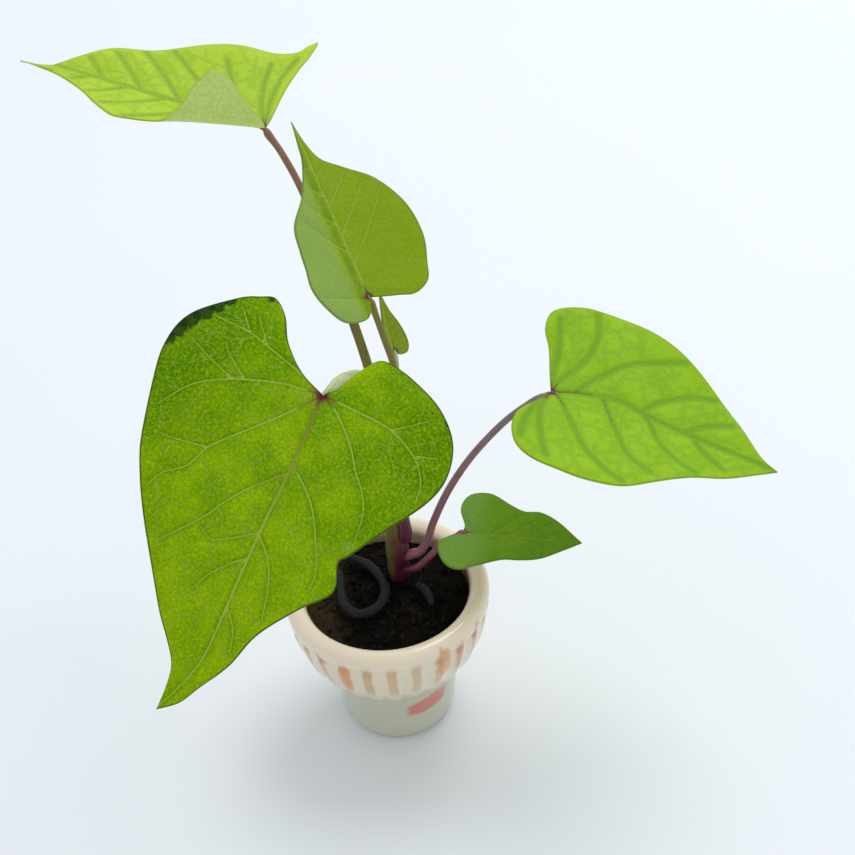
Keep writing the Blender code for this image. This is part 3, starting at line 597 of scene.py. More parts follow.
class Venation:
    """Grows the veins of one flat blade."""

    def __init__(self, sheet, seed):
        self.margin = np.array([(p.x, p.y) for p in sheet.outline(90)])
        self.reach = sheet.reach
        self.draw = random.Random(seed)
        self.main = []
        self.fine = []
        self.taken = np.full((1, 2), 999.0)

    def inside(self, place):
        """Whether a place lies on the blade, clear of its margin."""
        a, b = self.margin[:-1], self.margin[1:]
        crossed = (a[:, 1] > place[1]) != (b[:, 1] > place[1])
        rise = np.where(crossed, b[:, 1] - a[:, 1], 1.0)
        reach = a[:, 0] + (place[1] - a[:, 1]) * (b[:, 0] - a[:, 0]) / rise
        if (crossed & (reach > place[0])).sum() % 2 == 0:
            return False
        return np.hypot(*(self.margin - place).T).min() > VEIN_CLEAR

    def meets(self, place):
        """Whether a place touches a vein that is already there."""
        return np.hypot(*(self.taken - place).T).min() < VEIN_TOUCH

    def keep(self, veins, points, start, end):
        """Add a vein to the main or the fine ones."""
        veins.append((points, start, end))
        self.taken = np.concatenate([self.taken, points])

    def grow(self, start, heading, bend, length, stops=True):
        """Points of a vein that grows until it meets the margin or a vein."""
        points = [np.array(start, dtype=float)]
        while len(points) * VEIN_STEP < length:
            heading += bend * VEIN_STEP
            place = points[-1] + VEIN_STEP * np.array([math.cos(heading), math.sin(heading)])
            if not self.inside(place):
                break
            points.append(place)
            if stops and len(points) > 3 and self.meets(place):
                break
        return np.array(points)

    def add_main(self, veins):
        """The main veins that are listed for the blade."""
        for points, start, end in veins:
            self.keep(self.main, flat_curve(points), VEIN_WIDTH * start, VEIN_WIDTH * end)

    def add_usual(self, scale):
        """The main veins that such a leaf usually has."""
        self.keep(self.main, flat_curve([(0, 0), (self.reach * 0.96, 0)]), 0.8 * scale, 0.2)
        for side in (-1, 1):
            for angle, bend in USUAL_LOBE_VEINS:
                heading = side * math.radians(angle)
                turn = side * bend / self.reach * 2
                points = self.grow((0, 0), heading, turn, self.reach, stops=False)
                self.keep(self.main, points, 0.5 * scale, 0.2)
            for share in USUAL_SIDE_VEINS:
                start = (self.reach * (share + 0.03 * side), 0)
                heading = side * math.radians(48)
                points = self.grow(start, heading, -side * 0.5 / self.reach, self.reach, stops=False)
                self.keep(self.main, points, 0.4 * scale, 0.18)

    def add_fine(self, spacing, parents, kind):
        """Side veins along the given ones, on alternate sides."""
        share, width, length = kind
        spacing *= share
        side = 1
        for points, _, _ in parents:
            travelled = self.draw.uniform(0.4, 1.0) * spacing
            for a, b in zip(points, points[1:]):
                travelled += math.dist(a, b)
                if travelled < spacing:
                    continue
                travelled = self.draw.uniform(-0.2, 0.2) * spacing
                side = -side
                along = math.atan2(*(b - a)[::-1])
                heading = along + side * math.radians(self.draw.uniform(58, 84))
                bend = -side * self.draw.uniform(0.0, 0.09)
                grown = self.grow(b, heading, bend, length)
                if len(grown) > 2:
                    self.keep(self.fine, grown, width, width * 0.6)


def vein_blade(facts, sheet, settings):
    """All the veins of a blade."""
    veins = Venation(sheet, settings.seed + len(facts["left"]))
    veins.add_main(facts.get("veins", []))
    if "veins" not in facts or "usual" in facts:
        veins.add_usual(sheet.reach / USUAL_REACH)
    spacing = settings.twig_spacing / MM * min(1.0, sheet.reach / USUAL_REACH)
    veins.add_fine(spacing, veins.main, FINER_VEINS)
    veins.add_fine(spacing, list(veins.fine), FINEST_VEINS)
    return veins


def spread_blade(name, facts):
    """A fan of faces out to the margin, with each point's flat place kept."""
    sheet = BladeSheet(facts)
    columns, rows = BLADE_FACES[name]
    margin = sheet.outline(columns // 2 + 1)
    deselect()
    bpy.ops.mesh.primitive_grid_add(x_subdivisions=columns, y_subdivisions=rows, size=1.0)
    blade = bpy.context.object
    blade.name = blade.data.name = "leaf_" + name.split("_")[1]
    places, flats = [], []
    for vertex in blade.data.vertices:
        turn = min(1.0, max(0.0, vertex.co.x + 0.5))
        share = min(1.0, max(0.0, vertex.co.y + 0.5)) ** ROW_CROWDING
        edge = margin[round(turn * columns)]
        flat = sheet.centre.lerp(edge, share)
        places.append(sheet.place(flat.x, flat.y, turn, share) * MM)
        flats.append((flat.x, flat.y, (1 - share) * (edge - sheet.centre).length))
    write_points(blade.data, places)
    write_field(blade.data, "flat", flats)
    edit(blade, (bpy.ops.mesh.remove_doubles, {"threshold": MERGE}))
    facing = sum(p.normal.dot(sheet.up) * p.area for p in blade.data.polygons)
    if facing < 0:
        edit(blade, (bpy.ops.mesh.flip_normals, {}))
    return sheet, blade


def thicken_blade(blade, settings):
    """Give the sheet its thickness, then swell it between its veins."""
    count = len(blade.data.vertices)
    wall = blade.modifiers.new("thickness", "SOLIDIFY")
    wall.thickness = settings.thickness
    wall.offset = 0.0
    wall.material_offset = 1
    apply_modifiers(blade)
    points = read_points(blade.data)
    _, near, half = read_field(blade.data, "main")[:count].T
    edge = read_field(blade.data, "flat")[:count, 2]
    ahead = points[:count] - points[count:]
    ahead /= np.linalg.norm(ahead, axis=1)[:, None] + 1e-12
    calm = np.clip(edge / QUILT_MARGIN, 0, 1)
    bulge = settings.quilting * (1 - np.exp(-(near / QUILT_REACH) ** 2)) * calm
    groove = VEIN_GROOVE * MM * np.exp(-(near / (half + 0.25)) ** 2)
    ridge = VEIN_RIDGE * MM * half * np.exp(-(near / (half + 0.12)) ** 2) * calm
    points[:count] += ahead * (bulge - groove)[:, None]
    points[count:] += ahead * (bulge - ridge)[:, None]
    write_points(blade.data, points)


def make_leaf(name, facts, settings):
    """One leaf, with its materials on it before its underside is made."""
    sheet, blade = spread_blade(name, facts)
    veins = vein_blade(facts, sheet, settings)
    flat = read_field(blade.data, "flat")[:, :2]
    write_field(blade.data, "main", nearest(flat, veins.main))
    write_field(blade.data, "fine", nearest(flat, veins.fine))
    blade.data.materials.append(leaf_finish(name, settings))
    blade.data.materials.append(shared_finish("leaf_underside", underside_finish, settings))
    thicken_blade(blade, settings)
    dress(blade, [], name)


def tube(name, points, radii, sides):
    """A smooth stem through points, with a radius at each."""
    curve = bpy.data.curves.new(name, "CURVE")
    curve.dimensions = "3D"
    curve.bevel_depth = MM
    curve.bevel_resolution = sides // 2 - 2
    curve.use_fill_caps = True
    spline = curve.splines.new("POLY")
    spline.points.add(len(points) - 1)
    for target, place, radius in zip(spline.points, points, radii):
        target.co = (*(Vector(place) * MM), 1.0)
        target.radius = radius
    made = bpy.data.objects.new(name, curve)
    bpy.context.scene.collection.objects.link(made)
    pick(made)
    bpy.ops.object.convert(target="MESH")
    made = bpy.context.object
    edit(made, (bpy.ops.mesh.remove_doubles, {"threshold": MERGE / 10}))
    mark_skin(made, points)
    return made


def mark_skin(stem, points):
    """Keep, for each point of a stem, where it lies round and along the stem."""
    centres = np.array([tuple(p) for p in points])
    steps = np.linalg.norm(np.diff(centres, axis=0), axis=1)
    along = np.concatenate([[0], np.cumsum(steps)])
    places = read_points(stem.data) / MM
    gaps = places[:, None, :] - centres[None]
    close = np.linalg.norm(gaps, axis=2).argmin(axis=1)
    out = gaps[np.arange(len(places)), close]
    out /= np.linalg.norm(out, axis=1)[:, None] + 1e-9
    write_field(stem.data, "skin", np.stack([out[:, 0], out[:, 1], along[close]], axis=1))
    share = along[close] / along[-1]
    write_field(stem.data, "span", np.stack([share, share, share], axis=1))


def swelling(distance, width):
    """A smooth bump, 1 at no distance and close to 0 at twice the width."""
    return math.exp(-(distance / width) ** 2)


def petiole_route(points, blade):
    """A petiole's points, rooted in the vine and running on under its blade."""
    first = Vector(points[0])
    centres = curve_between([p[:3] for p in VINE], 120)
    foot = min(centres, key=lambda p: (p - first + Vector((0, 0, PETIOLE_DROP))).length)
    sheet = BladeSheet(BLADES[blade])
    joint = sheet.junction - PETIOLE_UNDER * sheet.up
    under = sheet.junction + PETIOLE_ON * sheet.along - PETIOLE_UNDER * sheet.up
    return [foot] + [Vector(p) for p in points] + [joint, under]


def make_petiole(name, facts, settings):
    """A petiole, thicker near both its ends and narrowed at the very ends."""
    points, start, end, blade, low, high = facts
    route = curve_between(petiole_route(points, blade), PETIOLE_POINTS)
    last = PETIOLE_POINTS - 1
    radii = []
    for index in range(PETIOLE_POINTS):
        radius = start + (end - start) * index / last
        radius *= 1 + 0.28 * swelling(index - 5, 4) + 0.22 * swelling(last - 4 - index, 3)
        taper = max(0.0, (index - last + 4) / 4, (3 - index) / 3)
        radii.append(radius * (1 - 0.65 * taper))
    stem = tube("stem_" + name.split("_")[1], route, radii, settings.sides)
    finish = stem_finish(name, getattr(settings, low), getattr(settings, high))
    dress(stem, [finish], name)


def make_vine(settings):
    """The vine's own stem, swollen where each petiole leaves it."""
    route = sized_between(VINE, VINE_POINTS)
    joints = [Vector(facts[0][0]) for facts in PETIOLES.values()]
    radii = []
    for centre, size in route:
        near = min((centre - joint).length for joint in joints)
        wobble = 0.05 * noise.noise(centre * 0.25) + 0.03 * noise.noise(centre * 0.9)
        radii.append(size * (1 + 0.14 * swelling(max(0.0, near - 2.5), 2.2) + wobble))
    vine = tube("vine", [centre for centre, _ in route], radii, settings.sides)
    dress(vine, [vine_finish(settings)], "vine_stem")


def make_root(name, points, settings):
    """A knobbly root with blunt ends."""
    route = sized_between(points, ROOT_POINTS)
    radii = []
    for index, (centre, size) in enumerate(route):
        end = min(index, len(route) - 1 - index)
        blunt = math.sqrt(min(1.0, (end + 0.6) / 4))
        radii.append(size * blunt * (1 + 0.22 * noise.noise(centre * 0.55)))
    root = tube(name + "_skin", [centre for centre, _ in route], radii, settings.sides)
    dress(root, [shared_finish("root_skin", root_finish, settings)], name)


def turn_up(name, profile, sides):
    """A turned piece: one ring extruded and resized from point to point."""
    deselect()
    radius, height = profile[0]
    bpy.ops.mesh.primitive_circle_add(vertices=sides, radius=radius * MM,
                                      fill_type="NOTHING", location=(0, 0, height * MM))
    turned = bpy.context.object
    turned.name = turned.data.name = name
    bpy.ops.object.transform_apply(location=True, rotation=True, scale=True)
    bpy.ops.object.mode_set(mode="EDIT")
    bpy.ops.mesh.select_all(action="SELECT")
    for (last_r, last_z), (r, z) in zip(profile, profile[1:]):
        bpy.ops.mesh.extrude_region_move(
            TRANSFORM_OT_translate={"value": (0, 0, (z - last_z) * MM)})
        bpy.ops.transform.resize(value=(r / last_r, r / last_r, 1.0),
                                 center_override=(0, 0, z * MM))
    bpy.ops.mesh.select_mode(type="EDGE")
    bpy.ops.mesh.select_all(action="DESELECT")
    bpy.ops.mesh.select_non_manifold()
    bpy.ops.mesh.fill_holes(sides=0)
    bpy.ops.mesh.select_mode(type="VERT")
    bpy.ops.object.mode_set(mode="OBJECT")
    edit(turned, (bpy.ops.mesh.normals_make_consistent, {"inside": False}))
    return turned


def smooth_step(value, low, high):
    share = min(1.0, max(0.0, (value - low) / (high - low)))
    return share * share * (3 - 2 * share)


def pot_wall(height):
    """Inner radius of the pot at a height above its floor's fillet."""
    for (low_r, low), (top_r, top) in zip(POT_INSIDE, POT_INSIDE[1:]):
        if height <= top:
            return low_r + (top_r - low_r) * (height - low) / (top - low)
    return POT_INSIDE[-1][0]


def make_pot(settings):
    """The pot, turned in one piece, with its upright ribs."""
    outer = POT_LIP + POT_BAND + POT_FOOT
    profile = [(radius, POT_FLOOR) for radius in (1.5, 6.0, 10.5)]
    profile += flat_between(POT_INSIDE, 40) + flat_between(outer, 120)
    profile += [(radius, 0.0) for radius in (11.5, 8.0, 1.5)]
    pot = turn_up("painted_pot", profile, settings.sides)
    for vertex in pot.data.vertices:
        raise_rib(vertex)
    dress(pot, [pot_finish(settings)], "pot")


def raise_rib(vertex):
    """Push a point of the band out where one of its upright ribs stands."""
    height = vertex.co.z / MM
    radius = vertex.co.xy.length / MM
    foot, top = RIB_HEIGHTS
    if not foot <= height <= top or radius < pot_wall(height) + 1.0:
        return
    turn = math.atan2(vertex.co.y, vertex.co.x)
    swell = (0.5 - 0.5 * math.cos(RIB_COUNT * turn)) ** 0.8
    swell *= smooth_step(height, *RIB_START) * (1 - smooth_step(height, *RIB_END))
    vertex.co.xy *= (radius + RIB_HEIGHT * swell) / radius


def soil_height(x, y):
    """Height of the soil at a place, with its lumps."""
    reach = pot_wall(SOIL_EDGE) - SOIL_GAP
    share = min(1.0, math.hypot(x, y) / reach)
    lumps = 0.35 * (math.sin(0.9 * x + 0.4) * math.sin(0.8 * y + 1.1)
                    + 0.6 * math.sin(0.55 * x - 0.7 * y))
    place = Vector((x, y, 0))
    grain = 0.55 * noise.noise(place * 0.9) + 0.4 * noise.noise(place * 2.3)
    return SOIL_CENTRE - (SOIL_CENTRE - SOIL_EDGE) * share ** 2 + lumps + grain


def make_soil(settings):
    """The soil with its rough top, and the crumbs on it."""
    reach = pot_wall(SOIL_EDGE) - SOIL_TOP_GAP
    step = (reach - SOIL_FIRST_RING) / SOIL_RINGS
    top = [(SOIL_FIRST_RING + step * ring, SOIL_EDGE) for ring in range(SOIL_RINGS + 1)]
    side = [(r - SOIL_GAP, z) for r, z in POT_INSIDE[-2::-1]]
    base = [(r, POT_FLOOR + SOIL_GAP) for r in (10.3, 1.0)]
    soil = turn_up("soil_bed", top + side + base, SOIL_SIDES)
    for vertex in soil.data.vertices:
        x, y, z = vertex.co / MM
        if z > SOIL_EDGE - 0.1:
            vertex.co.z = soil_height(x, y) * MM
    dress(soil, [shared_finish("damp_soil", soil_finish, settings)], "soil")
    make_crumbs(settings, reach)


def make_crumbs(settings, reach):
    """Crumbs of soil that lie on its top, joined into one piece."""
    draw = random.Random(5)
    deselect()
    bpy.ops.mesh.primitive_ico_sphere_add(subdivisions=1, radius=1.0)
    model = bpy.context.object
    crumbs = [make_crumb(model, draw, reach) for _ in range(settings.crumbs)]
    bpy.data.objects.remove(model, do_unlink=True)
    deselect()
    for crumb in crumbs:
        crumb.select_set(True)
    bpy.context.view_layer.objects.active = crumbs[0]
    bpy.ops.object.join()
    joined = bpy.context.object
    joined.name = joined.data.name = "soil_crumbs"
    dress(joined, [shared_finish("damp_soil", soil_finish, settings)], "soil")


def make_crumb(model, draw, reach):
    """One crumb of a few faces, pushed out of round."""
    radius = reach * math.sqrt(draw.random()) * CRUMB_SPREAD
    turn = draw.uniform(0, math.tau)
    x, y = radius * math.cos(turn), radius * math.sin(turn)
    size = CRUMB_SIZE[0] + CRUMB_SIZE[1] * draw.random() ** 3
    crumb = model.copy()
    crumb.data = model.data.copy()
    bpy.context.scene.collection.objects.link(crumb)
    place = Vector((x, y, soil_height(x, y) + size * 0.25))
    flat = Vector((draw.uniform(0.7, 1.2), draw.uniform(0.7, 1.2), draw.uniform(0.5, 0.9)))
    for vertex in crumb.data.vertices:
        bump = 1 + 0.55 * noise.noise(vertex.co * 1.6 + place)
        vertex.co = (vertex.co * flat * size * bump + place) * MM
    return crumb


class Tree:
    """Adds nodes to a material or a node group, from left to right."""

    def __init__(self, tree):
        self.tree = tree

    def node(self, kind, values=(), **settings):
        """A node, with its sockets fed in order or, from a dict, by name or number."""
        made = self.tree.nodes.new(kind)
        made.location = (200 * len(self.tree.nodes), 0)
        for name, value in settings.items():
            setattr(made, name, value)
        pairs = values.items() if isinstance(values, dict) else enumerate(values)
        for socket, value in pairs:
            self.feed(made.inputs[socket], value)
        return made

    def feed(self, socket, value):
        if isinstance(value, bpy.types.NodeSocket):
            self.tree.links.new(value, socket)
        elif socket.type == "RGBA" and len(value) == 3:
            socket.default_value = (*value, 1.0)
        else:
            socket.default_value = value

    def math(self, operation, *values):
        return self.node("ShaderNodeMath", values, operation=operation).outputs[0]

    def times(self, first, *others):
        for other in others:
            first = self.math("MULTIPLY", first, other)
        return first

    def plus(self, first, second):
        return self.math("ADD", first, second)

    def minus(self, first, second):
        return self.math("SUBTRACT", first, second)

    def distance(self, x, y):
        """How far a flat place lies from the middle."""
        return self.math("POWER", self.plus(self.times(x, x), self.times(y, y)), 0.5)

    def ramp(self, value, low, high, start=0.0, end=1.0):
        """A smooth step of a value between low and high."""
        values = (value, low, high, start, end)
        return self.node("ShaderNodeMapRange", values, interpolation_type="SMOOTHSTEP").outputs[0]

    def mix(self, share, first, second):
        values = {0: share, 6: first, 7: second}
        return self.node("ShaderNodeMix", values, data_type="RGBA").outputs[2]

    def field(self, name):
        return self.node("ShaderNodeAttribute", attribute_name=name).outputs["Vector"]

    def object_place(self):
        return self.node("ShaderNodeTexCoord").outputs["Object"]

    def split(self, vector):
        return self.node("ShaderNodeSeparateXYZ", [vector]).outputs

    def join(self, x, y, z):
        return self.node("ShaderNodeCombineXYZ", (x, y, z)).outputs[0]

    def noise(self, vector, scale, detail=2.0, roughness=0.5, output="Fac"):
        values = {"Vector": vector, "Scale": scale, "Detail": detail, "Roughness": roughness}
        return self.node("ShaderNodeTexNoise", values).outputs[output]

    def cells(self, vector, scale, feature="F1"):
        values = {"Vector": vector, "Scale": scale}
        return self.node("ShaderNodeTexVoronoi", values, feature=feature).outputs

    def group(self, make, **values):
        """A shader node group, made the first time that it is used."""
        name = make.__name__.replace("_", " ")
        if name not in bpy.data.node_groups:
            make(name)
        sockets = {socket.replace("_", " "): value for socket, value in values.items()}
        return self.node("ShaderNodeGroup", sockets, node_tree=bpy.data.node_groups[name]).outputs


class Finish(Tree):
    """A material in the making, with the sockets of its shader."""

    def __init__(self, name, values):
        self.material = bpy.data.materials.new(name)
        self.material.use_nodes = True
        super().__init__(self.material.node_tree)
        self.sockets = self.material.node_tree.nodes["Principled BSDF"].inputs
        for socket, value in values.items():
            self.sockets[socket].default_value = value

    def end(self, colour, relief=None, depth=0.0, strength=1.0):
        """Feed the shader its colour and its fine relief, and hand over the material."""
        self.feed(self.sockets["Base Color"], colour)
        if relief is not None:
            values = {"Height": relief, "Distance": depth, "Strength": strength}
            self.feed(self.sockets["Normal"], self.node("ShaderNodeBump", values).outputs[0])
        return self.material


def shared_finish(name, make, settings):
    """A material of more than one piece, made the first time that it is used."""
    return bpy.data.materials.get(name) or make(name, settings)


def open_group(name, inputs, outputs):
    """A new node group with named sockets, its tree, and what flows in and out.

    An input is given its kind, or the number that it has when nothing feeds it.
    """
    group = bpy.data.node_groups.new(name, "ShaderNodeTree")
    for socket, given in inputs.items():
        kind = given if isinstance(given, str) else "Float"
        made = group.interface.new_socket(socket, in_out="INPUT", socket_type="NodeSocket" + kind)
        if kind == "Float":
            made.default_value = given
    for socket, kind in outputs.items():
        group.interface.new_socket(socket, in_out="OUTPUT", socket_type="NodeSocket" + kind)
    tree = Tree(group)
    return tree, tree.node("NodeGroupInput").outputs, tree.node("NodeGroupOutput").inputs


def vein_line(name):
    """A crisp line along the veins of a field."""
    tree, given, result = open_group(name, {"field": "Vector", "widen": 1.0}, {"mask": "Float"})
    signed, near, half = tree.split(given["field"])
    half = tree.times(half, given["widen"])
    outer = tree.plus(tree.times(half, 1.15), 0.03)
    line = tree.ramp(tree.math("ABSOLUTE", signed), tree.times(half, 0.5), outer, 1.0, 0.0)
    reach = tree.plus(half, 0.3)
    close = tree.ramp(near, reach, tree.plus(reach, 0.25), 1.0, 0.0)
    tree.feed(result["mask"], tree.times(line, close))


def round_patch(name):
    """A patch round a flat place, with a ragged edge."""
    tree, given, result = open_group(
        name, {"place": "Vector", "u": 0.0, "v": 0.0, "size": 1.0, "rag": 0.5}, {"mask": "Float"})
    u, v, _ = tree.split(given["place"])
    gap = tree.distance(tree.minus(u, given["u"]), tree.minus(v, given["v"]))
    gap = tree.plus(gap, tree.times(tree.noise(given["place"], 1.1, 3.0), given["rag"]))
    far = tree.times(given["size"], 1.25)
    tree.feed(result["mask"], tree.ramp(gap, given["size"], far, 1.0, 0.0))


def leaf_mottling(name):
    """Small pale spots between a net of the finest veins, and slow patches."""
    tree, given, result = open_group(name, {"place": "Vector", "cell": 1.1},
                                     {"spots": "Float", "net": "Float", "patches": "Float"})
    u, v, _ = tree.split(given["place"])
    flat = tree.join(u, v, 0.0)
    drift = tree.noise(flat, 0.8, output="Color")
    drifted = tree.node("ShaderNodeVectorMath", (drift, (0.9, 0.9, 0.0), flat),
                        operation="MULTIPLY_ADD").outputs[0]
    scale = tree.math("DIVIDE", 1.0, given["cell"])
    edge = tree.cells(drifted, scale, "DISTANCE_TO_EDGE")["Distance"]
    speck = tree.noise(drifted, tree.times(scale, 1.3), 3.0, 0.6)
    tree.feed(result["net"], tree.ramp(edge, 0.02, 0.11, 1.0, 0.0))
    tree.feed(result["spots"], tree.ramp(speck, 0.42, 0.66))
    tree.feed(result["patches"], tree.ramp(tree.noise(flat, 0.13, 3.0), 0.38, 0.64))


def stem_skin(name):
    """Colour of a stem from foot to tip, with streaks along it."""
    tree, given, result = open_group(
        name, {"low": "Color", "high": "Color", "start": 0.0, "end": 1.0},
        {"colour": "Color", "streaks": "Float"})
    round_x, round_y, along = tree.split(tree.field("skin"))
    share = tree.split(tree.field("span"))[0]
    skin = tree.join(tree.times(round_x, 2.2), tree.times(round_y, 2.2), tree.times(along, 0.22))
    streaks = tree.noise(skin, 1.6, 4.0, 0.6)
    drifting = tree.plus(share, tree.times(tree.minus(streaks, 0.5), 0.35))
    colour = tree.mix(tree.ramp(drifting, given["start"], given["end"]), given["low"], given["high"])
    dark = tree.ramp(streaks, 0.3, 0.7, 0.35, 0.0)
    tree.feed(result["colour"], tree.mix(dark, colour, (0.03, 0.015, 0.01)))
    tree.feed(result["streaks"], streaks)


def brush_stroke(name):
    """A painted stroke on the pot round an angle and a height, leaning by slant."""
    tree, given, result = open_group(
        name, {"angle": 0.0, "height": 30.0, "half turn": 0.05, "half height": 5.0, "slant": 0.0},
        {"mask": "Float"})
    place = tree.object_place()
    x, y, z = tree.split(place)
    aside = tree.minus(tree.math("ARCTAN2", y, x), tree.times(given["angle"], math.pi / 180))
    aside = tree.math("WRAP", aside, math.pi, -math.pi)
    up = tree.minus(tree.times(z, 1 / MM), given["height"])
    up = tree.minus(up, tree.times(aside, given["slant"]))
    reach = tree.times(tree.noise(place, 900.0, 3.0), 0.9)
    for gap, half in ((aside, given["half turn"]), (up, given["half height"])):
        share = tree.math("ABSOLUTE", tree.math("DIVIDE", gap, half))
        reach = tree.plus(reach, tree.math("POWER", share, 3.0))
    tree.feed(result["mask"], tree.ramp(reach, 0.7, 1.6, 1.0, 0.0))


def leaf_finish(name, settings):
    """The upper face of one leaf."""
    looks = BLADE_LOOKS[name]
    mottling = GROWN_MOTTLING if name in GROWN_BLADES else YOUNG_MOTTLING
    leaf = Finish(name + "_top", {"Roughness": 0.5, "Specular IOR Level": looks["shine"],
                                  "Subsurface Weight": 0.2, **LEAF_LIGHT})
    place = leaf.field("flat")
    edge = leaf.split(place)[2]
    spots, net, patches = leaf.group(leaf_mottling, place=place, cell=mottling["cell"])
    colour = leaf_ground(leaf, name, place, mottling, (spots, net, patches))
    colour, twigs = leaf_veins(leaf, looks, place, colour, settings)
    colour = leaf.mix(leaf.ramp(edge, 0.15, 0.45, looks["margin"], 0.0), colour, settings.margin)
    if name == "blade_front":
        colour = front_marks(leaf, colour, place)
    relief = leaf.minus(leaf.times(spots, 0.5), leaf.times(net, 0.8))
    relief = leaf.minus(relief, leaf.times(twigs, 1.2))
    return leaf.end(colour, relief, 0.06 * MM, 0.8)


def leaf_ground(leaf, name, place, mottling, masks):
    """The colours of a leaf between its veins."""
    looks = BLADE_LOOKS[name]
    body, pale, deep = (tint(*looks[part]) for part in ("body", "pale", "deep"))
    spots, net, patches = masks
    u, v, _ = leaf.split(place)
    colour = leaf.mix(leaf.times(patches, mottling["patches"]), body, pale)
    # Darker sides of the large leaf's lobes, and painted shade in the middle leaf's fold.
    if name in BLADE_SHADES:
        colour = leaf.mix(BLADE_SHADES[name](leaf, u, v), colour, deep)
    if "tone_and_sheen" in looks:
        way, low, high, most, tone_and_sheen = looks["tone_and_sheen"]
        share = leaf.ramp({"u": u, "v": v}[way], low, high, 0.0, most)
        colour = leaf.mix(share, colour, tint(*tone_and_sheen))
    colour = leaf.mix(leaf.times(spots, mottling["spots"]), colour, pale)
    return leaf.mix(leaf.times(net, mottling["net"]), colour, deep)


def leaf_veins(leaf, looks, place, colour, settings):
    """The veins, darker beside them, with brown on the midrib and purple at the junction."""
    main = leaf.field("main")
    fine = leaf.field("fine")
    u, v, _ = leaf.split(place)
    spread, beside = looks["spread"], looks["beside"]
    near_main = leaf.ramp(leaf.split(main)[1], 0.0, spread, beside, 0.0)
    near_fine = leaf.ramp(leaf.split(fine)[1], 0.0, spread * 0.6, beside * 0.45, 0.0)
    colour = leaf.mix(leaf.math("MAXIMUM", near_main, near_fine), colour, tint(*looks["deep"]))
    lines = leaf.group(vein_line, field=main)[0]
    twigs = leaf.times(leaf.group(vein_line, field=fine)[0], looks["thin"])
    colour = leaf.mix(twigs, colour, settings.vein)
    colour = leaf.mix(leaf.times(lines, looks["thick"]), colour, settings.vein)
    gap = leaf.distance(u, v)
    purple = leaf.times(lines, leaf.ramp(gap, 0.8, 3.8, 0.8, 0.0))
    colour = leaf.mix(purple, colour, settings.purple)
    midrib = leaf.ramp(leaf.math("ABSOLUTE", v), 2.6, 3.4, 1.0, 0.0)
    browned = leaf.times(midrib, leaf.ramp(u, 2.0, 34.0, looks["midrib"], 0.0))
    colour = leaf.mix(leaf.times(lines, browned), colour, tint(112, 72, 34))
    return leaf.mix(leaf.ramp(gap, 0.5, 1.5, 0.9, 0.0), colour, settings.purple), twigs


def lobe_shade(leaf, u, v):
    """The large leaf: darker towards the sides of its lobes."""
    aside = leaf.ramp(leaf.math("ABSOLUTE", v), 7.0, 25.0, 0.0, 0.6)
    return leaf.times(aside, leaf.ramp(u, 36.0, 14.0))


def fold_shade(leaf, _, v):
    """The middle leaf: painted shade, darker in the fold beside its midrib."""
    return leaf.times(leaf.ramp(v, 3.4, 1.6, 0.0, 0.6), leaf.ramp(v, 1.2, -0.2, 1.0, 0.0))


BLADE_SHADES = {"blade_front": lobe_shade, "blade_middle": fold_shade}


def front_marks(leaf, colour, place):
    """The scorched edge and the pale nick of the large leaf."""
    for u, v, size in SCORCHES:
        patch = leaf.group(round_patch, place=place, u=u, v=v, size=size, rag=1.6)[0]
        colour = leaf.mix(leaf.times(patch, 0.85), colour, tint(28, 52, 22))
    u, v, size = NICK
    nick = leaf.group(round_patch, place=place, u=u, v=v, size=size, rag=1.0)[0]
    return leaf.mix(leaf.times(nick, 0.3), colour, tint(126, 158, 70))


def underside_finish(name, settings):
    """The pale underside that all the leaves share."""
    leaf = Finish(name, {"Roughness": 0.62, "Specular IOR Level": 0.3,
                         "Subsurface Weight": 0.25, **LEAF_LIGHT})
    _, net, patches = leaf.group(leaf_mottling, place=leaf.field("flat"), cell=1.3)
    lines = leaf.group(vein_line, field=leaf.field("main"), widen=1.3)[0]
    twigs = leaf.group(vein_line, field=leaf.field("fine"), widen=1.2)[0]
    colour = leaf.mix(leaf.times(patches, 0.3), settings.under, tint(186, 208, 98))
    colour = leaf.mix(leaf.times(net, 0.25), colour, tint(150, 178, 76))
    pale = leaf.math("MAXIMUM", lines, leaf.times(twigs, 0.6))
    colour = leaf.mix(leaf.times(pale, 0.7), colour, (0.62, 0.68, 0.42))
    return leaf.end(colour, leaf.plus(twigs, leaf.times(net, 0.4)), 0.08 * MM, 0.8)


def stem_finish(name, low, high):
    """The skin of one petiole."""
    stem = Finish(name + "_skin", {"Roughness": 0.42, "Specular IOR Level": 0.45,
                                   "Subsurface Weight": 0.15, "Subsurface Scale": 0.8 * MM})
    colour, streaks = stem.group(stem_skin, low=low, high=high)
    return stem.end(colour, streaks, 0.12 * MM, 0.6)


def vine_finish(settings):
    """The vine: purple at its foot, olive above, brown at its top."""
    vine = Finish("vine_skin", {"Roughness": 0.45, "Specular IOR Level": 0.4})
    colour, streaks = vine.group(stem_skin, low=settings.purple, high=settings.olive,
                                 start=0.12, end=0.5)
    share = vine.split(vine.field("span"))[0]
    colour = vine.mix(vine.ramp(share, 0.8, 1.0, 0.0, 0.7), colour, settings.brown)
    left = vine.ramp(vine.split(vine.field("skin"))[0], -0.2, -0.6)
    left = vine.times(left, vine.ramp(share, 0.06, 0.12, 0.0, 0.85))
    colour = vine.mix(left, colour, tint(88, 86, 28))
    return vine.end(colour, streaks, 0.2 * MM, 0.7)


def root_finish(name, settings):
    """Grey root skin with fine wrinkles round it."""
    root = Finish(name, {"Roughness": 0.75, "Specular IOR Level": 0.2})
    x, y, along = root.split(root.field("skin"))
    rings = root.noise(root.join(x, y, root.times(along, 1.8)), 2.0, 5.0, 0.7)
    colour = root.mix(root.ramp(rings, 0.35, 0.7), settings.root, tint(22, 21, 20))
    return root.end(colour, rings, 0.25 * MM, 0.8)


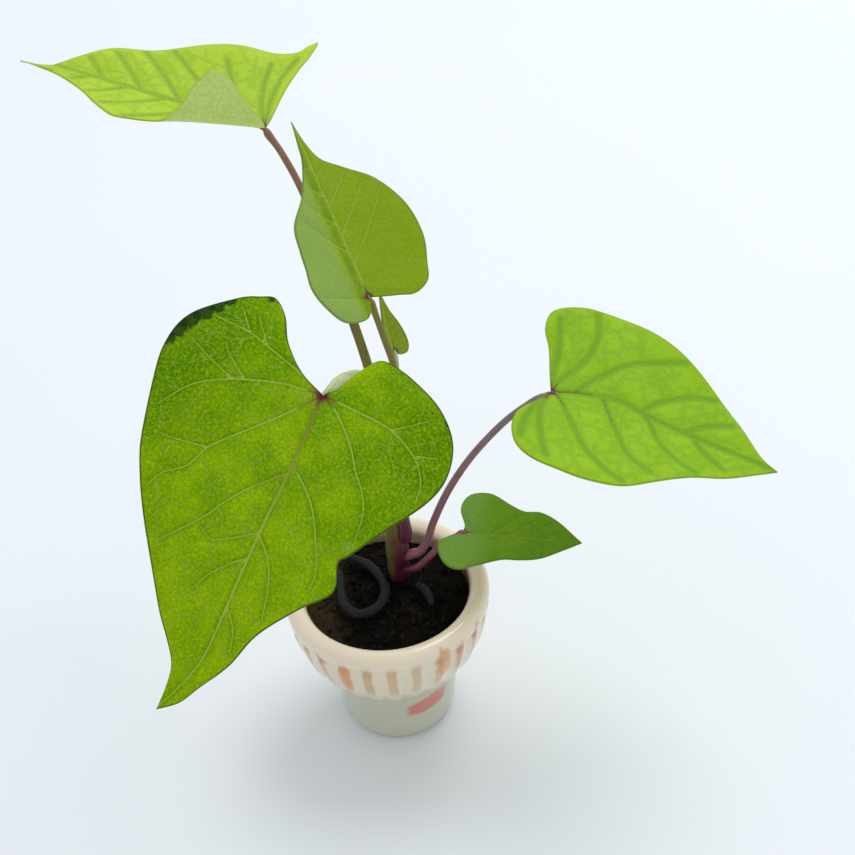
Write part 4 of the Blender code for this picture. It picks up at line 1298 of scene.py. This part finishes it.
def soil_finish(name, settings):
    """Dark damp soil with brown flecks, browner on the left."""
    soil = Finish(name, {"Roughness": 0.9, "Specular IOR Level": 0.08})
    place = soil.object_place()
    lumps = soil.noise(place, 420.0, 5.0, 0.65)
    fleck = soil.ramp(soil.split(soil.cells(place, 1300.0)["Color"])[0], 0.9, 0.95)
    colour = soil.mix(soil.ramp(lumps, 0.4, 0.8), settings.soil, tint(24, 20, 15))
    colour = soil.mix(soil.times(fleck, 0.5), colour, settings.fibre)
    left = soil.ramp(soil.split(place)[0], -7 * MM, -17 * MM, 0.0, 0.55)
    colour = soil.mix(left, colour, tint(74, 60, 40))
    return soil.end(colour, soil.noise(place, 1500.0, 4.0, 0.7), 0.3 * MM, 0.8)


def pot_finish(settings):
    """Cream glaze with brushed ribs and strokes, a cooler foot and a stained inside."""
    pot = Finish("painted_glaze", {"Roughness": 0.22, "Specular IOR Level": 0.5,
                                   "Coat Weight": 0.4, "Coat Roughness": 0.08})
    place = pot.object_place()
    x, y, z = pot.split(place)
    height = pot.times(z, 1 / MM)
    cloud = pot.noise(place, 60.0, 3.0)
    glaze = pot.mix(pot.ramp(cloud, 0.35, 0.65, 0.0, 0.35), settings.glaze, tint(226, 204, 164))
    glaze = pot.mix(pot.ramp(height, *LIP_FADE, 0.0, 0.45), glaze, tint(244, 220, 200))
    glaze = pot.mix(pot.ramp(height, *FOOT_FADE), glaze, settings.foot)
    ribs = brushed_ribs(pot, place, pot.math("ARCTAN2", y, x), height)
    colour = pot.mix(ribs, glaze, settings.brown_paint)
    paints = {"orange": settings.orange_paint, "pink": tint(208, 134, 112), "red": settings.red_paint}
    for paint, *shape in STROKES:
        stroke = pot.group(brush_stroke, **dict(zip(STROKE_SHAPE, shape)))[0]
        colour = pot.mix(pot.times(stroke, 0.75), colour, paints[paint])
    inside = pot.ramp(pot.distance(x, y), *(radius * MM for radius in INNER_WALL))
    inside = pot.times(inside, pot.ramp(height, *STAIN_FADE))
    colour = pot.mix(inside, colour, glaze)
    stained = pot.times(inside, pot.ramp(cloud, 0.3, 0.6, 0.25, 0.9))
    colour = pot.mix(stained, colour, tint(120, 70, 40))
    return pot.end(colour, pot.noise(place, 220.0, 2.0), 0.15 * MM, 0.4)


def brushed_ribs(pot, place, turn, height):
    """Where faint paint lies on the ribs, stronger on some than on others."""
    ragged = pot.minus(pot.noise(place, 500.0, 3.0), 0.5)
    wave = pot.math("COSINE", pot.math("MULTIPLY_ADD", turn, float(RIB_COUNT), math.pi))
    painted = pot.ramp(pot.plus(wave, ragged), -0.1, 0.75)
    frayed = pot.plus(height, pot.times(ragged, 3.0))
    above, below = (pot.ramp(frayed, *fade) for fade in PAINT_FADES)
    rib = pot.math("FLOOR", pot.times(turn, RIB_COUNT / math.tau))
    chance = pot.node("ShaderNodeTexWhiteNoise", {"W": rib}, noise_dimensions="1D")
    strength = pot.ramp(chance.outputs["Value"], 0.0, 1.0, 0.35, 0.75)
    return pot.times(painted, above, below, strength)


def floor_finish(settings):
    floor = Finish("pale_floor", {"Roughness": 0.7, "Specular IOR Level": 0.2})
    cloud = floor.ramp(floor.noise(floor.object_place(), 3.0), 0.3, 0.7, 0.0, 0.25)
    return floor.end(floor.mix(cloud, settings.floor, tint(228, 233, 238)))


def make_stage(settings):
    """The floor, the even light, the soft lamp and the camera."""
    deselect()
    bpy.ops.mesh.primitive_plane_add(size=FLOOR_SIZE, location=(0, 0, 0))
    floor = bpy.context.object
    floor.name = "floor"
    floor.data.materials.append(floor_finish(settings))
    make_sky(settings)
    make_lamp(settings)
    make_camera(settings)


def make_sky(settings):
    """The even light, and a view transform that leaves the greens as they are."""
    world = bpy.data.worlds.new("soft_sky")
    world.use_nodes = True
    sky = world.node_tree.nodes["Background"].inputs
    sky["Color"].default_value = SKY_COLOUR
    sky["Strength"].default_value = settings.sky
    bpy.context.scene.world = world
    bpy.context.scene.view_settings.view_transform = "Standard"


def make_lamp(settings):
    """A large round lamp behind the pot and to its right."""
    bpy.ops.object.light_add(type="AREA", location=LAMP_PLACE)
    lamp = bpy.context.object
    lamp.name = "window"
    lamp.data.shape = "DISK"
    lamp.data.size = LAMP_SIZE
    lamp.data.energy = settings.lamp
    aim = Vector(LAMP_AIM) - lamp.location
    lamp.rotation_euler = aim.to_track_quat("-Z", "Y").to_euler()


def make_camera(settings):
    """The camera where the photograph was taken from."""
    down = math.radians(CAMERA_DOWN)
    roll = math.radians(CAMERA_ROLL)
    ahead = Vector((0, math.cos(down), -math.sin(down)))
    level = Vector((1, 0, 0))
    above = level.cross(ahead)
    right = math.cos(roll) * level + math.sin(roll) * above
    top = right.cross(ahead)
    bpy.ops.object.camera_add()
    camera = bpy.context.object
    camera.name = "camera"
    camera.data.sensor_width = 36.0
    camera.data.lens = settings.lens
    camera.data.clip_start = 0.01
    camera.data.clip_end = 20.0
    turned = Matrix((right, top, -ahead)).transposed()
    camera.matrix_world = Matrix.Translation(Vector(CAMERA_PLACE) * MM) @ turned.to_4x4()
    bpy.context.scene.camera = camera


class VINE_OT_leaves(bpy.types.Operator):
    """Make the leaf blades with their veins"""
    bl_idname = "vine.leaves"
    bl_label = "Leaves"

    def execute(self, context):
        for name, facts in BLADES.items():
            make_leaf(name, facts, context.scene.vine_leaves)
        return {"FINISHED"}


class VINE_OT_stems(bpy.types.Operator):
    """Make the vine's stem and the petioles"""
    bl_idname = "vine.stems"
    bl_label = "Stem and petioles"

    def execute(self, context):
        settings = context.scene.vine_stems
        make_vine(settings)
        for name, facts in PETIOLES.items():
            make_petiole(name, facts, settings)
        return {"FINISHED"}


class VINE_OT_roots(bpy.types.Operator):
    """Make the roots that lie on the soil"""
    bl_idname = "vine.roots"
    bl_label = "Roots"

    def execute(self, context):
        for name, points in ROOTS.items():
            make_root(name, points, context.scene.vine_stems)
        return {"FINISHED"}


class VINE_OT_soil(bpy.types.Operator):
    """Make the soil and its crumbs"""
    bl_idname = "vine.soil"
    bl_label = "Soil"

    def execute(self, context):
        make_soil(context.scene.vine_pot)
        return {"FINISHED"}


class VINE_OT_pot(bpy.types.Operator):
    """Make the painted pot"""
    bl_idname = "vine.pot"
    bl_label = "Pot"

    def execute(self, context):
        make_pot(context.scene.vine_pot)
        return {"FINISHED"}


class VINE_OT_stage(bpy.types.Operator):
    """Make the floor, the light and the camera"""
    bl_idname = "vine.stage"
    bl_label = "Stage"

    def execute(self, context):
        make_stage(context.scene.vine_stage)
        return {"FINISHED"}


OPERATORS = (VINE_OT_pot, VINE_OT_soil, VINE_OT_roots, VINE_OT_stems, VINE_OT_leaves,
             VINE_OT_stage)


class VINE_PT_panel(bpy.types.Panel):
    """Lists the pieces and their settings."""
    bl_idname = "VINE_PT_panel"
    bl_label = "Potted vine"
    bl_space_type = "VIEW_3D"
    bl_region_type = "UI"
    bl_category = "Vine"

    def draw(self, context):
        for operator in OPERATORS:
            self.layout.operator(operator.bl_idname)
        for group in ("vine_leaves", "vine_stems", "vine_pot", "vine_stage"):
            settings = getattr(context.scene, group)
            box = self.layout.box()
            for name in settings.bl_rna.properties.keys():
                if name not in ("rna_type", "name"):
                    box.prop(settings, name)


SETTINGS = {"vine_leaves": VineLeafSettings, "vine_stems": VineStemSettings,
            "vine_pot": VinePotSettings, "vine_stage": VineStageSettings}


def register():
    for group, settings in SETTINGS.items():
        bpy.utils.register_class(settings)
        setattr(bpy.types.Scene, group, PointerProperty(type=settings))
    for kind in (*OPERATORS, VINE_PT_panel):
        bpy.utils.register_class(kind)


def unregister():
    for kind in (VINE_PT_panel, *reversed(OPERATORS)):
        bpy.utils.unregister_class(kind)
    for group, settings in SETTINGS.items():
        delattr(bpy.types.Scene, group)
        bpy.utils.unregister_class(settings)


def main():
    register()
    bpy.ops.vine.pot()
    bpy.ops.vine.soil()
    bpy.ops.vine.roots()
    bpy.ops.vine.stems()
    bpy.ops.vine.leaves()
    bpy.ops.vine.stage()
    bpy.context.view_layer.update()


if __name__ == "__main__":
    main()
